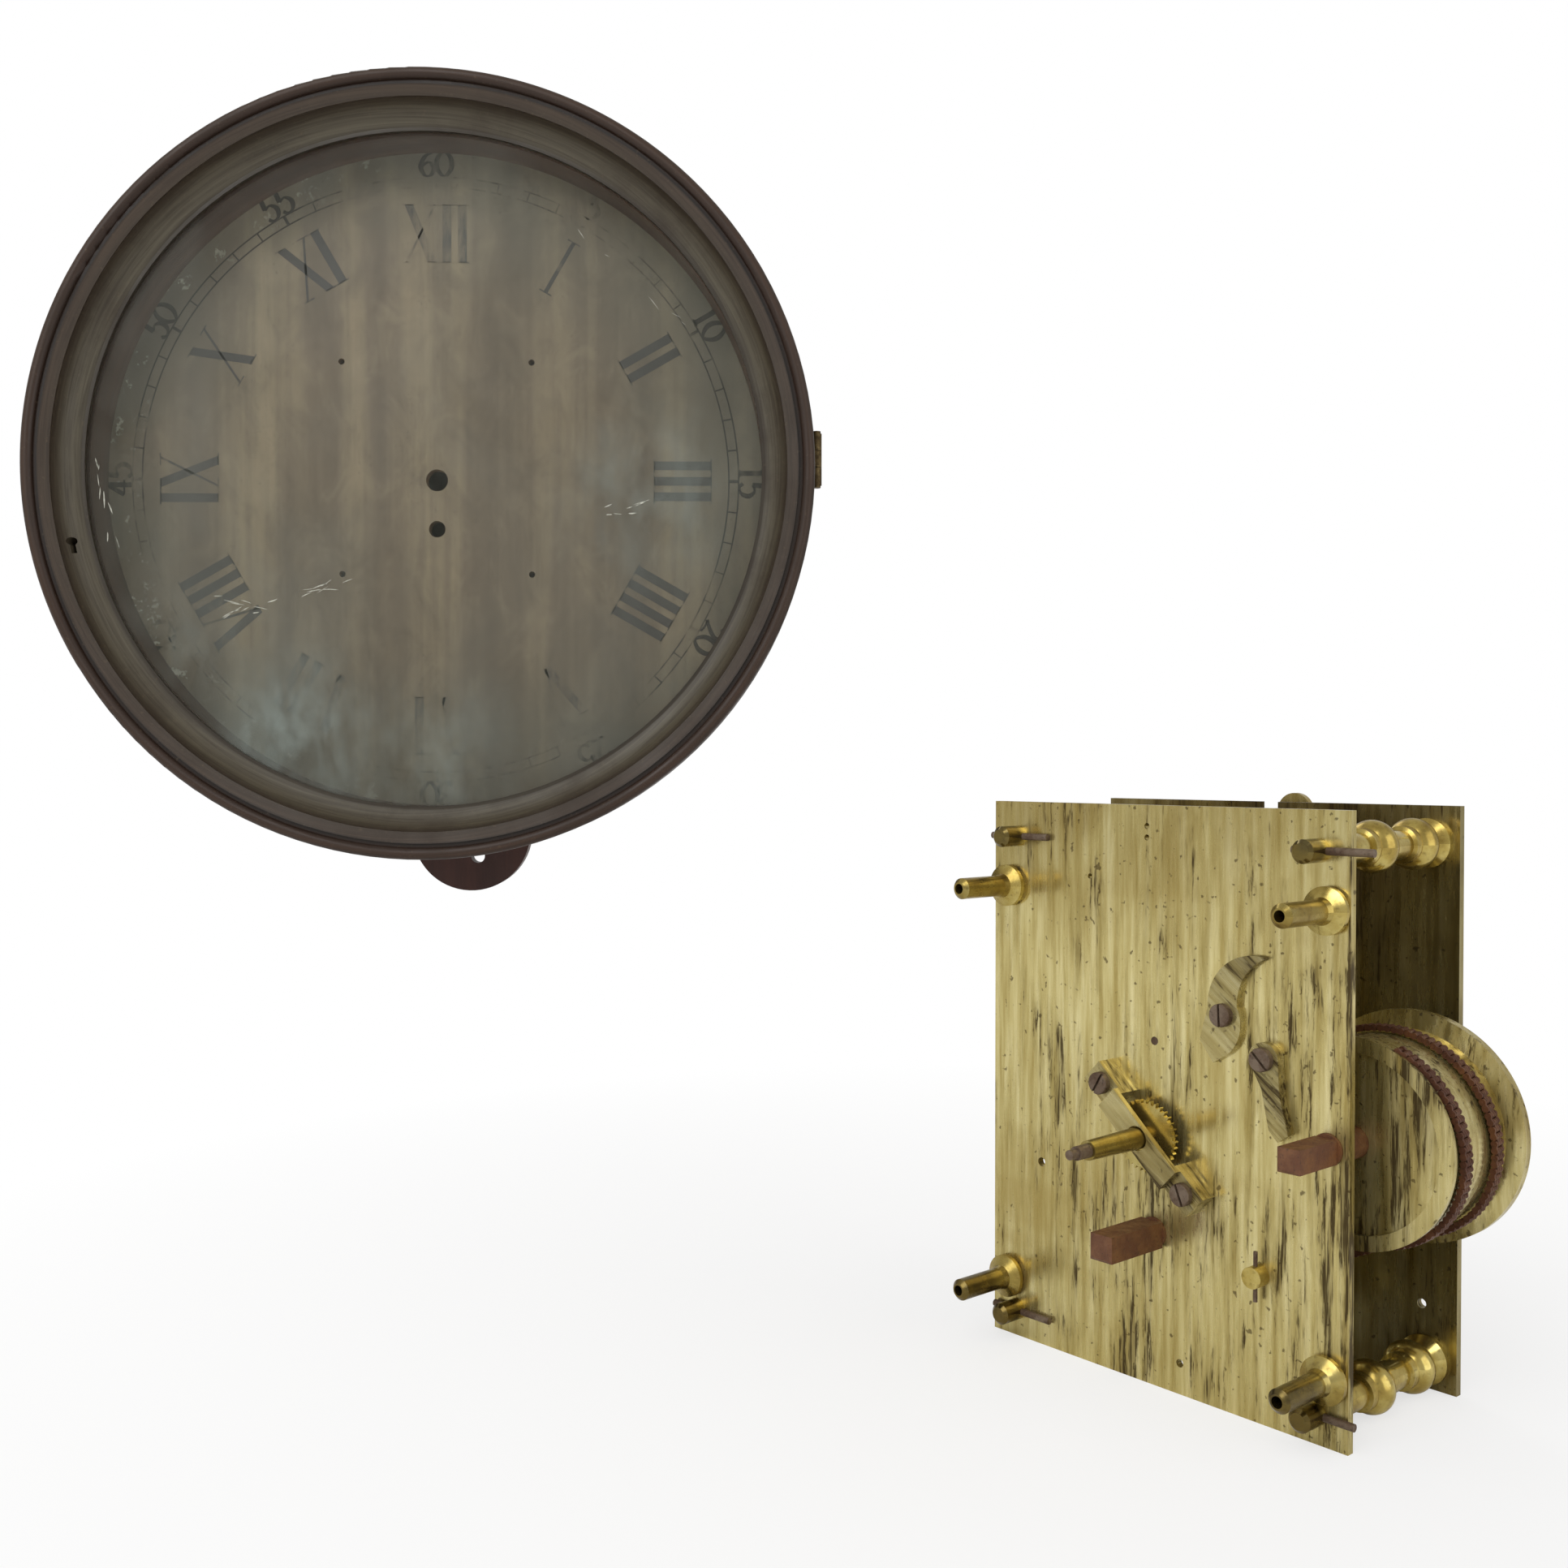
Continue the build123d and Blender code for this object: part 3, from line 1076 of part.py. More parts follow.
with BuildPart() as cannon_pipe:
    with BuildSketch(works(-CANNON_WHEEL_RISE)):
        with BuildLine():
            Polyline(*wheel_outline(CANNON_TEETH, CANNON_WHEEL))
        make_face()
        Circle(ARBOR + SEATED, mode=Mode.SUBTRACT)
    extrude(amount=WHEEL_THICKNESS)
    with BuildSketch(turning(0, 0)):
        with BuildLine():
            Polyline(
                (ARBOR + SEATED, -1.0),
                (CANNON_RADIUS * 1.3, -1.0),
                (CANNON_RADIUS * 1.3, -CANNON_WHEEL_RISE),
                (CANNON_RADIUS, -CANNON_WHEEL_RISE),
                (CANNON_RADIUS * 0.85, -CANNON_REACH),
                (ARBOR + SEATED, -CANNON_REACH),
                (ARBOR + SEATED, -1.0),
            )
        make_face()
    revolve(axis=works_axis(0, 0))
cannon_pipe.part.label = "cannon_pipe"
export_step(cannon_pipe.part, "parts/cannon_pipe.step")

with BuildPart() as centre_arbor:
    with BuildSketch(turning(0, 0)):
        with BuildLine():
            Polyline(*steps(
                (HAND_PIN, -CENTRE_REACH, HAND_PIN_LENGTH - CENTRE_REACH),
                (ARBOR, HAND_PIN_LENGTH - CENTRE_REACH, PINION_DEPTH),
                (PINION_CORE, PINION_DEPTH, PINION_DEPTH + PINION_LENGTH),
                (ARBOR * 1.2, PINION_DEPTH + PINION_LENGTH, BACK_PLATE - ARBOR_SHOULDER),
                (PIVOT, BACK_PLATE - ARBOR_SHOULDER, BACK_FACE),
            ))
        make_face()
    revolve(axis=works_axis(0, 0))
    with BuildSketch(works(PINION_DEPTH + PINION_LENGTH)):
        with BuildLine():
            Polyline(*pinion_outline(CENTRE_PINION_LEAVES, CENTRE_PINION, pi / CENTRE_PINION_LEAVES))
        make_face()
    extrude(amount=PINION_LENGTH)
centre_arbor.part.label = "centre_arbor"
export_step(centre_arbor.part, "parts/centre_arbor.step")


# Wheels with arms
def arm_windows(inner, outer, arms, arm_width):
    """Sketch of the windows between the arms, to cut from a wheel."""
    with BuildSketch(Plane.XY) as windows:
        for (r1, a1, b1), (r2, a2, b2) in crossing(inner, outer, arms, arm_width):
            with BuildLine():
                ThreePointArc(at(r1, a1), at(r1, (a1 + b1) / 2), at(r1, b1))
                Line(at(r1, b1), at(r2, b2))
                ThreePointArc(at(r2, b2), at(r2, (a2 + b2) / 2), at(r2, a2))
                Line(at(r2, a2), at(r1, a1))
            make_face()
    return windows.sketch


with BuildPart() as centre_wheel:
    with BuildSketch(works(CENTRE_DEPTH + WHEEL_THICKNESS)):
        with BuildLine():
            Polyline(*wheel_outline(CENTRE_TEETH, CENTRE_RADIUS, pi / 2))
        make_face()
        add(arm_windows(ARBOR * 3, CENTRE_RADIUS - CENTRE_RIM, 4, CENTRE_ARM), mode=Mode.SUBTRACT)
        Circle(ARBOR * 1.2 + SEATED, mode=Mode.SUBTRACT)
    extrude(amount=WHEEL_THICKNESS)
centre_wheel.part.label = "centre_wheel"
export_step(centre_wheel.part, "parts/centre_wheel.step")

# Great wheel and fusee on the winding arbor
with BuildPart() as great_wheel:
    with BuildSketch(works(GREAT_DEPTH + GREAT_THICKNESS)):
        with Locations(FUSEE_AT):
            with BuildLine():
                outline = wheel_outline(GREAT_TEETH, GREAT_RADIUS)
                Polyline(*[(x, z - FUSEE_DROP) for x, z in outline])
            make_face()
        with Locations(FUSEE_AT):
            Circle(FUSEE_ARBOR + SEATED, mode=Mode.SUBTRACT)
    extrude(amount=GREAT_THICKNESS)
great_wheel.part.label = "great_wheel"
export_step(great_wheel.part, "parts/great_wheel.step")


def fusee_radius(depth):
    """Hollow curve of the fusee, from its small front end to its large back end."""
    share = (depth - FUSEE_FRONT) / (GREAT_DEPTH - FUSEE_FLOOR - FUSEE_FRONT)
    return FUSEE_SMALL * FUSEE_LARGE / (FUSEE_LARGE - (FUSEE_LARGE - FUSEE_SMALL) * share)


with BuildPart() as fusee:
    with BuildSketch(turning(*FUSEE_AT)):
        with BuildLine():
            span = GREAT_DEPTH - FUSEE_FLOOR - FUSEE_FRONT
            cap = FUSEE_SMALL + FUSEE_CAP
            front, back = FUSEE_FRONT - FUSEE_CAP_FRONT, FUSEE_FRONT - FUSEE_CAP_BACK
            points = [(FUSEE_ARBOR + SEATED, front), (cap, front), (cap, back), (FUSEE_SMALL, back)]
            pitch = span / FUSEE_GROOVES
            for k in range(FUSEE_GROOVES):
                ridge, valley, wall = (FUSEE_FRONT + (k + share) * pitch for share in (0.0, 0.25, 0.85))
                points += [(fusee_radius(ridge), ridge)]
                points += [(fusee_radius(ridge) - FUSEE_GROOVE_DEPTH, valley)]
                points += [(fusee_radius(wall) - FUSEE_GROOVE_DEPTH, wall)]
            points += [(FUSEE_LARGE, GREAT_DEPTH - FUSEE_FLOOR), (FUSEE_LARGE, GREAT_DEPTH)]
            points += [(FUSEE_ARBOR + SEATED, GREAT_DEPTH), points[0]]
            Polyline(*points)
        make_face()
    revolve(axis=works_axis(*FUSEE_AT))
fusee.part.label = "fusee"
export_step(fusee.part, "parts/fusee.step")

with BuildPart() as fusee_arbor:
    with BuildSketch(turning(*FUSEE_AT)):
        with BuildLine():
            Polyline(*steps(
                (FUSEE_ARBOR, -SQUARE_START, GREAT_DEPTH + GREAT_THICKNESS + 2),
                (ARBOR, GREAT_DEPTH + GREAT_THICKNESS + 2, BACK_PLATE - ARBOR_SHOULDER),
                (PIVOT, BACK_PLATE - ARBOR_SHOULDER, BACK_FACE),
            ))
        make_face()
    revolve(axis=works_axis(*FUSEE_AT))
    with BuildSketch(works(-SQUARE_START)):
        with Locations(FUSEE_AT):
            Rectangle(WINDING_SQUARE, WINDING_SQUARE)
    extrude(amount=WINDING_REACH - SQUARE_START)
    chamfer(fusee_arbor.faces().sort_by(Axis((0, 0, 0), FRONT))[-1].edges(), SQUARE_CHAMFER)
fusee_arbor.part.label = "fusee_arbor"
export_step(fusee_arbor.part, "parts/fusee_arbor.step")


# Going barrel with its cover, arbor and chain
BARREL_BACK = BARREL_FRONT + BARREL_LENGTH
HUB_FRONT = BARREL_FRONT + COVER_INSET + BARREL_WALL + ARBOR_SHOULDER
HUB_BACK = BARREL_BACK - BARREL_WALL - ARBOR_SHOULDER
with BuildPart() as barrel_drum:
    with BuildSketch(turning(*BARREL_AT)):
        with BuildLine():
            Polyline(
                (COVER_RADIUS, BARREL_FRONT),
                (BARREL_FRONT_RIM, BARREL_FRONT),
                (BARREL_FRONT_RIM, BARREL_FRONT + 1.4),
                (BARREL_RADIUS, BARREL_FRONT + 1.8),
                (BARREL_RADIUS, BARREL_BACK - BARREL_RIM_WIDTH),
                (BARREL_RIM, BARREL_BACK - BARREL_RIM_WIDTH + 1.2),
                (BARREL_RIM, BARREL_BACK),
                (BARREL_ARBOR * 0.8 + RUNNING, BARREL_BACK),
                (BARREL_ARBOR * 0.8 + RUNNING, BARREL_BACK - BARREL_WALL),
                (BARREL_RADIUS - BARREL_WALL, BARREL_BACK - BARREL_WALL),
                (BARREL_RADIUS - BARREL_WALL, BARREL_FRONT + COVER_INSET + BARREL_WALL),
                (COVER_RADIUS, BARREL_FRONT + COVER_INSET + BARREL_WALL),
                (COVER_RADIUS, BARREL_FRONT),
            )
        make_face()
    revolve(axis=works_axis(*BARREL_AT))
barrel_drum.part.label = "barrel_drum"
export_step(barrel_drum.part, "parts/barrel_drum.step")

with BuildPart() as barrel_cover:
    with BuildSketch(works(BARREL_FRONT + COVER_INSET + BARREL_WALL)):
        with Locations(BARREL_AT):
            Circle(COVER_RADIUS - SEATED)
            Circle(BARREL_ARBOR + RUNNING, mode=Mode.SUBTRACT)
    extrude(amount=BARREL_WALL)
barrel_cover.part.label = "barrel_cover"
export_step(barrel_cover.part, "parts/barrel_cover.step")

with BuildPart() as barrel_arbor:
    with BuildSketch(turning(*BARREL_AT)):
        with BuildLine():
            Polyline(*steps(
                (BARREL_ARBOR, -SQUARE_START, HUB_FRONT),
                (BARREL_ARBOR * 2, HUB_FRONT, HUB_BACK),
                (BARREL_ARBOR * 0.8, HUB_BACK, BACK_PLATE - ARBOR_SHOULDER),
                (PIVOT, BACK_PLATE - ARBOR_SHOULDER, BACK_FACE),
            ))
        make_face()
    revolve(axis=works_axis(*BARREL_AT))
    with BuildSketch(works(-SQUARE_START)):
        with Locations(BARREL_AT):
            Rectangle(BARREL_SQUARE, BARREL_SQUARE)
    extrude(amount=BARREL_REACH - SQUARE_START)
    chamfer(barrel_arbor.faces().sort_by(Axis((0, 0, 0), FRONT))[-1].edges(), SQUARE_CHAMFER)
barrel_arbor.part.label = "barrel_arbor"
export_step(barrel_arbor.part, "parts/barrel_arbor.step")

CHAIN_ORBIT = BARREL_RADIUS + CHAIN_SEAT + CHAIN_RADIUS

# Free run of the chain, tangent to the barrel and the fusee below their axes
SPAN_BARREL_DEPTH = CHAIN_END + 2 * CHAIN_RADIUS + LOOSE
FUSEE_ORBIT = fusee_radius(FUSEE_CHAIN_DEPTH + 2 * CHAIN_RADIUS) + CHAIN_RADIUS + LOOSE
BARREL_ORBIT = CHAIN_ORBIT + LOOSE
AXES_X, AXES_Z = BARREL_X, BARREL_Z + FUSEE_DROP
AXES = hypot(AXES_X, AXES_Z)
LEAN = (FUSEE_ORBIT - BARREL_ORBIT) / AXES
TANGENT_X = AXES_X / AXES * LEAN + AXES_Z / AXES * sqrt(1 - LEAN**2)
TANGENT_Z = AXES_Z / AXES * LEAN - AXES_X / AXES * sqrt(1 - LEAN**2)
CHAIN_TURNS = 1 + (CHAIN_FIRST_ANGLE - degrees(atan2(TANGENT_Z, TANGENT_X))) / 360
CHAIN_PITCH = (CHAIN_END - CHAIN_START) / CHAIN_TURNS


def on_barrel(turns):
    """Middle of the chain after this many turns from its front end."""
    angle = radians(CHAIN_FIRST_ANGLE) - 2 * pi * turns
    x, z = at(CHAIN_ORBIT, angle)
    return spot(BARREL_X + x, BARREL_Z + z, CHAIN_START + CHAIN_PITCH * turns)


CHAIN_ARCS = round(CHAIN_TURNS * 4)
with BuildPart() as barrel_chain:
    with BuildLine() as chain_path:
        for k in range(CHAIN_ARCS):
            start, middle, end = (CHAIN_TURNS * (k + share) / CHAIN_ARCS for share in (0, 0.5, 1))
            ThreePointArc(on_barrel(start), on_barrel(middle), on_barrel(end))
    with BuildSketch(Plane(origin=chain_path.line @ 0, z_dir=chain_path.line % 0)):
        Circle(CHAIN_RADIUS)
    sweep(path=chain_path.line)
barrel_chain.part.label = "barrel_chain"
export_step(barrel_chain.part, "parts/barrel_chain.step")
chain_length = sum(edge.length for edge in chain_path.edges())
print("chain volume", barrel_chain.part.volume, "expected", pi * CHAIN_RADIUS**2 * chain_length)
chain_points = [on_barrel(CHAIN_TURNS * k / 200) for k in range(201)]
apart = min(
    (a - b).length for k, a in enumerate(chain_points) for b in chain_points[k + 20 :]
)
print("least gap of the chain to itself", apart - 2 * CHAIN_RADIUS)

with BuildPart() as chain_span:
    barrel_end = spot(
        BARREL_X + BARREL_ORBIT * TANGENT_X, BARREL_Z + BARREL_ORBIT * TANGENT_Z, SPAN_BARREL_DEPTH
    )
    fusee_end = spot(FUSEE_ORBIT * TANGENT_X, FUSEE_ORBIT * TANGENT_Z - FUSEE_DROP, FUSEE_CHAIN_DEPTH)
    with BuildSketch(Plane(origin=barrel_end, z_dir=fusee_end - barrel_end)):
        Circle(CHAIN_RADIUS)
    extrude(amount=(fusee_end - barrel_end).length)
chain_span.part.label = "chain_span"
export_step(chain_span.part, "parts/chain_span.step")


# Click, its spring and the screws of the front plate
CLICK_LENGTH = hypot(CLICK_END_X - CLICK_X, CLICK_END_Z - CLICK_Z)
CLICK_TURN = atan2(CLICK_END_Z - CLICK_Z, CLICK_END_X - CLICK_X)
CLICK_PLANE = Plane(
    origin=spot(CLICK_X, CLICK_Z, -RUNNING),
    x_dir=RIGHT * cos(CLICK_TURN) + UP * sin(CLICK_TURN),
    z_dir=FRONT,
)
with BuildPart() as setup_click:
    with BuildSketch(CLICK_PLANE):
        with BuildLine():
            Polyline(
                (0, CLICK_BOSS),
                (CLICK_LENGTH * 0.45, CLICK_WIDTH * 0.55),
                (CLICK_LENGTH - 1.5, CLICK_WIDTH * 0.6),
                (CLICK_LENGTH, -CLICK_WIDTH * 0.1),
                (CLICK_LENGTH * 0.85, -CLICK_WIDTH * 0.5),
                (CLICK_LENGTH * 0.35, -CLICK_WIDTH * 0.45),
                (0, -CLICK_BOSS),
                (0, CLICK_BOSS),
            )
        make_face()
        Circle(CLICK_BOSS)
        Circle(SCREW_SHANK + RUNNING, mode=Mode.SUBTRACT)
    extrude(amount=CLICK_THICKNESS)
setup_click.part.label = "setup_click"
export_step(setup_click.part, "parts/setup_click.step")

with BuildPart() as click_spring:
    with BuildSketch(Plane(origin=spot(SPRING_X, SPRING_Z), x_dir=RIGHT, z_dir=FRONT)):
        with BuildLine():
            Polyline((-5.1, 1.6), (-7.7, -7.9), (-3.2, -13.9), (0.8, -11.4))
            ThreePointArc((0.8, -11.4), (5.5, -3.9), (4.5, 2.6))
            ThreePointArc((4.5, 2.6), (6.6, 11.1), (13.7, 17.2))
            ThreePointArc((13.7, 17.2), (-0.2, 13.6), (-5.1, 1.6))
        make_face()
        Circle(SCREW_SHANK + SEATED, mode=Mode.SUBTRACT)
    extrude(amount=SPRING_THICKNESS)
click_spring.part.label = "click_spring"
export_step(click_spring.part, "parts/click_spring.step")

HEAD_SEATS = [BRIDGE_SEAT, BRIDGE_SEAT, CLICK_THICKNESS + 2 * RUNNING, SPRING_THICKNESS]
with BuildPart() as front_plate_screws:
    for (x, z), seat in zip(FRONT_SCREWS, HEAD_SEATS):
        with BuildSketch(turning(x, z)):
            with BuildLine():
                Polyline(*steps(
                    (SCREW_HEAD, -seat - SCREW_HEAD_HEIGHT, -seat),
                    (SCREW_SHANK, -seat, PLATE_THICKNESS),
                ))
            make_face()
        revolve(axis=works_axis(x, z))
front_plate_screws.part.label = "front_plate_screws"
export_step(front_plate_screws.part, "parts/front_plate_screws.step")


# Stop work: a post through the front plate, the iron hinged behind it, and both pins
IRON_DEPTH = PLATE_THICKNESS + STOP_IRON_GAP
IRON_TIP_X = FUSEE_SMALL + FUSEE_CAP + STOP_TIP_GAP
SLOT = STOP_RADIUS
HINGE_BACK = IRON_DEPTH + STOP_IRON_THICKNESS / 2
with BuildPart() as stop_post:
    with BuildSketch(turning(STOP_X, STOP_Z)):
        with BuildLine():
            Polyline(*steps((STOP_RADIUS, -STOP_REACH, IRON_DEPTH + STOP_IRON_THICKNESS + 1.2)))
        make_face()
    revolve(axis=works_axis(STOP_X, STOP_Z))
    with BuildSketch(works(IRON_DEPTH + STOP_IRON_THICKNESS + 2)):
        with Locations((STOP_X, STOP_Z)):
            Rectangle(STOP_RADIUS * 3, SLOT)
    extrude(amount=STOP_IRON_THICKNESS + 2 + 1.6, mode=Mode.SUBTRACT)
    with BuildSketch(level(STOP_Z - STOP_RADIUS, STOP_X, HINGE_BACK)):
        Circle(STOP_PIN + SEATED)
    extrude(amount=STOP_RADIUS * 2, mode=Mode.SUBTRACT)
    with BuildSketch(level(STOP_Z - STOP_RADIUS, STOP_X, -STOP_REACH / 2)):
        Circle(STOP_PIN + SEATED)
    extrude(amount=STOP_RADIUS * 2, mode=Mode.SUBTRACT)
stop_post.part.label = "stop_post"
export_step(stop_post.part, "parts/stop_post.step")

with BuildPart() as stop_iron:
    with BuildSketch(works(IRON_DEPTH + STOP_IRON_THICKNESS)):
        with BuildLine():
            root = SLOT / 2 - LOOSE
            blade = STOP_IRON_WIDTH / 2
            Polyline(
                (STOP_X + IRON_HEEL, STOP_Z - root),
                (STOP_X + IRON_HEEL, STOP_Z + root),
                (STOP_X - IRON_NECK, STOP_Z + root),
                (STOP_X - IRON_SHOULDER, STOP_Z + blade),
                (IRON_TIP_X, STOP_Z + blade),
                (IRON_TIP_X, STOP_Z - blade * 0.4),
                (STOP_X - IRON_SHOULDER, STOP_Z - blade * 0.8),
                (STOP_X - IRON_NECK, STOP_Z - root),
                (STOP_X + IRON_HEEL, STOP_Z - root),
            )
        make_face()
    extrude(amount=STOP_IRON_THICKNESS)
    with BuildSketch(level(STOP_Z - STOP_RADIUS, STOP_X, HINGE_BACK)):
        Circle(STOP_PIN + RUNNING)
    extrude(amount=STOP_RADIUS * 2, mode=Mode.SUBTRACT)
stop_iron.part.label = "stop_iron"
export_step(stop_iron.part, "parts/stop_iron.step")

with BuildPart() as stop_pins:
    with BuildSketch(level(STOP_Z - STOP_RADIUS, STOP_X, HINGE_BACK)):
        Circle(STOP_PIN)
    extrude(amount=STOP_RADIUS * 2)
    with BuildSketch(level(STOP_Z - STOP_RADIUS - STOP_PIN_OUT, STOP_X, -STOP_REACH / 2)):
        Circle(STOP_PIN)
    extrude(amount=2 * (STOP_RADIUS + STOP_PIN_OUT))
stop_pins.part.label = "stop_pins"
export_step(stop_pins.part, "parts/stop_pins.step")


# Contrate wheel and its arbor
CONTRATE_MODULE = 2 * CONTRATE_RADIUS / CONTRATE_TEETH
CROWN_PINION = CONTRATE_MODULE * CROWN_PINION_LEAVES / 2
CONTRATE_TIPS = CROWN_DEPTH - CROWN_PINION + 0.4 * CONTRATE_MODULE
CONTRATE_FACE = CONTRATE_TIPS - CONTRATE_TOOTH
with BuildPart() as contrate_wheel:
    with BuildSketch(works(CONTRATE_FACE)):
        with Locations(CONTRATE_AT):
            Circle(CONTRATE_RADIUS + CONTRATE_RIM / 2)
            Circle(CONTRATE_RADIUS - CONTRATE_RIM, mode=Mode.SUBTRACT)
            Circle(ARBOR * 1.6)
            for angle in (45, 135):
                Rectangle(2 * CONTRATE_RADIUS - CONTRATE_RIM, CONTRATE_ARM, rotation=angle)
            Circle(ARBOR * 0.8 + SEATED, mode=Mode.SUBTRACT)
    extrude(amount=WHEEL_THICKNESS)
    with BuildSketch(works(CONTRATE_TIPS)):
        with Locations(CONTRATE_AT):
            with PolarLocations(CONTRATE_RADIUS, CONTRATE_TEETH):
                Rectangle(CONTRATE_RIM, CONTRATE_MODULE * 1.2)
    extrude(amount=CONTRATE_TOOTH + WHEEL_THICKNESS / 2)
contrate_wheel.part.label = "contrate_wheel"
export_step(contrate_wheel.part, "parts/contrate_wheel.step")

with BuildPart() as contrate_arbor:
    with BuildSketch(turning(*CONTRATE_AT)):
        with BuildLine():
            Polyline(*steps(
                (PIVOT, 0, PLATE_THICKNESS + ARBOR_SHOULDER),
                (ARBOR * 0.8, PLATE_THICKNESS + ARBOR_SHOULDER, CONTRATE_PINION_DEPTH),
                (PINION_CORE, CONTRATE_PINION_DEPTH, CONTRATE_PINION_DEPTH + PINION_LENGTH),
                (ARBOR * 0.8, CONTRATE_PINION_DEPTH + PINION_LENGTH, BACK_PLATE - ARBOR_SHOULDER),
                (PIVOT, BACK_PLATE - ARBOR_SHOULDER, BACK_FACE),
            ))
        make_face()
    revolve(axis=works_axis(*CONTRATE_AT))
    with BuildSketch(works(CONTRATE_PINION_DEPTH + PINION_LENGTH)):
        with BuildLine():
            outline = pinion_outline(CONTRATE_PINION_LEAVES, CONTRATE_PINION, -pi / 3)
            Polyline(*[(x, z + CONTRATE_RISE) for x, z in outline])
        make_face()
    extrude(amount=PINION_LENGTH)
contrate_arbor.part.label = "contrate_arbor"
export_step(contrate_arbor.part, "parts/contrate_arbor.step")


# Crown wheel, lying level, with its saw teeth upwards
CROWN_TOP = CROWN_BASE + CROWN_HEIGHT
CROWN_TIPS = CROWN_TOP + CROWN_TOOTH
CROWN_PITCH = 2 * pi / CROWN_TEETH
with BuildPart() as crown_wheel:
    with BuildSketch(level(CROWN_BASE, 0, CROWN_DEPTH)):
        Circle(CROWN_RADIUS + CROWN_RIM / 2)
        Circle(CROWN_RADIUS - CROWN_RIM * 1.5, mode=Mode.SUBTRACT)
        Circle(CROWN_ARBOR * 2)
        for angle in (0, 90):
            Rectangle(2 * CROWN_RADIUS - CROWN_RIM, CROWN_SPOKE, rotation=angle)
        Circle(CROWN_ARBOR + SEATED, mode=Mode.SUBTRACT)
    extrude(amount=WHEEL_THICKNESS)
    with BuildSketch(level(CROWN_BASE, 0, CROWN_DEPTH)):
        Circle(CROWN_RADIUS + CROWN_RIM / 2)
        Circle(CROWN_RADIUS - CROWN_RIM / 2, mode=Mode.SUBTRACT)
    extrude(amount=CROWN_TIPS - CROWN_BASE)
    for k in range(CROWN_TEETH):
        angle = k * CROWN_PITCH
        radial = RIGHT * cos(angle) - FRONT * sin(angle)
        along = FRONT * -cos(angle) - RIGHT * sin(angle)
        with BuildSketch(Plane(origin=spot(0, 0, CROWN_DEPTH), x_dir=along, z_dir=radial)):
            with BuildLine():
                width = CROWN_RADIUS * CROWN_PITCH
                Polyline(
                    (-width * 0.5, CROWN_TIPS + 1),
                    (-width * 0.5, CROWN_TIPS),
                    (-width * 0.22, CROWN_TOP),
                    (width * 0.2, CROWN_TOP),
                    (width * 0.4, CROWN_TIPS),
                    (width * 0.4, CROWN_TIPS + 1),
                    (-width * 0.5, CROWN_TIPS + 1),
                )
            make_face()
        extrude(amount=CROWN_RADIUS + 2, mode=Mode.SUBTRACT)
crown_wheel.part.label = "crown_wheel"
export_step(crown_wheel.part, "parts/crown_wheel.step")

CROWN_PINION_Z = CONTRATE_RISE + CONTRATE_RADIUS
POTENCE_BOTTOM = CROWN_TIPS + CROWN_GAP
LOWER_TOP = LOWER_POTENCE_Z + LOWER_POTENCE_TALL / 2
LOWER_BOTTOM = LOWER_POTENCE_Z - LOWER_POTENCE_TALL / 2
with BuildPart() as crown_arbor:
    lengths = [
        (CROWN_PIVOT, LOWER_BOTTOM, LOWER_TOP + LOOSE),
        (CROWN_ARBOR, LOWER_TOP + LOOSE, CROWN_PINION_Z - PINION_LENGTH / 2),
        (PINION_CORE, CROWN_PINION_Z - PINION_LENGTH / 2, CROWN_PINION_Z + PINION_LENGTH / 2),
        (CROWN_ARBOR, CROWN_PINION_Z + PINION_LENGTH / 2, POTENCE_BOTTOM - LOOSE),
        (CROWN_PIVOT, POTENCE_BOTTOM - LOOSE, POTENCE_BOTTOM + CROWN_BAR),
    ]
    for radius, bottom, top in lengths:
        with BuildSketch(level(bottom, 0, CROWN_DEPTH)):
            Circle(radius)
        extrude(amount=top - bottom)
    with BuildSketch(level(CROWN_PINION_Z - PINION_LENGTH / 2, 0, CROWN_DEPTH)):
        with BuildLine():
            Polyline(*pinion_outline(CROWN_PINION_LEAVES, CROWN_PINION, -pi / 3))
        make_face()
    extrude(amount=PINION_LENGTH)
crown_arbor.part.label = "crown_arbor"
export_step(crown_arbor.part, "parts/crown_arbor.step")

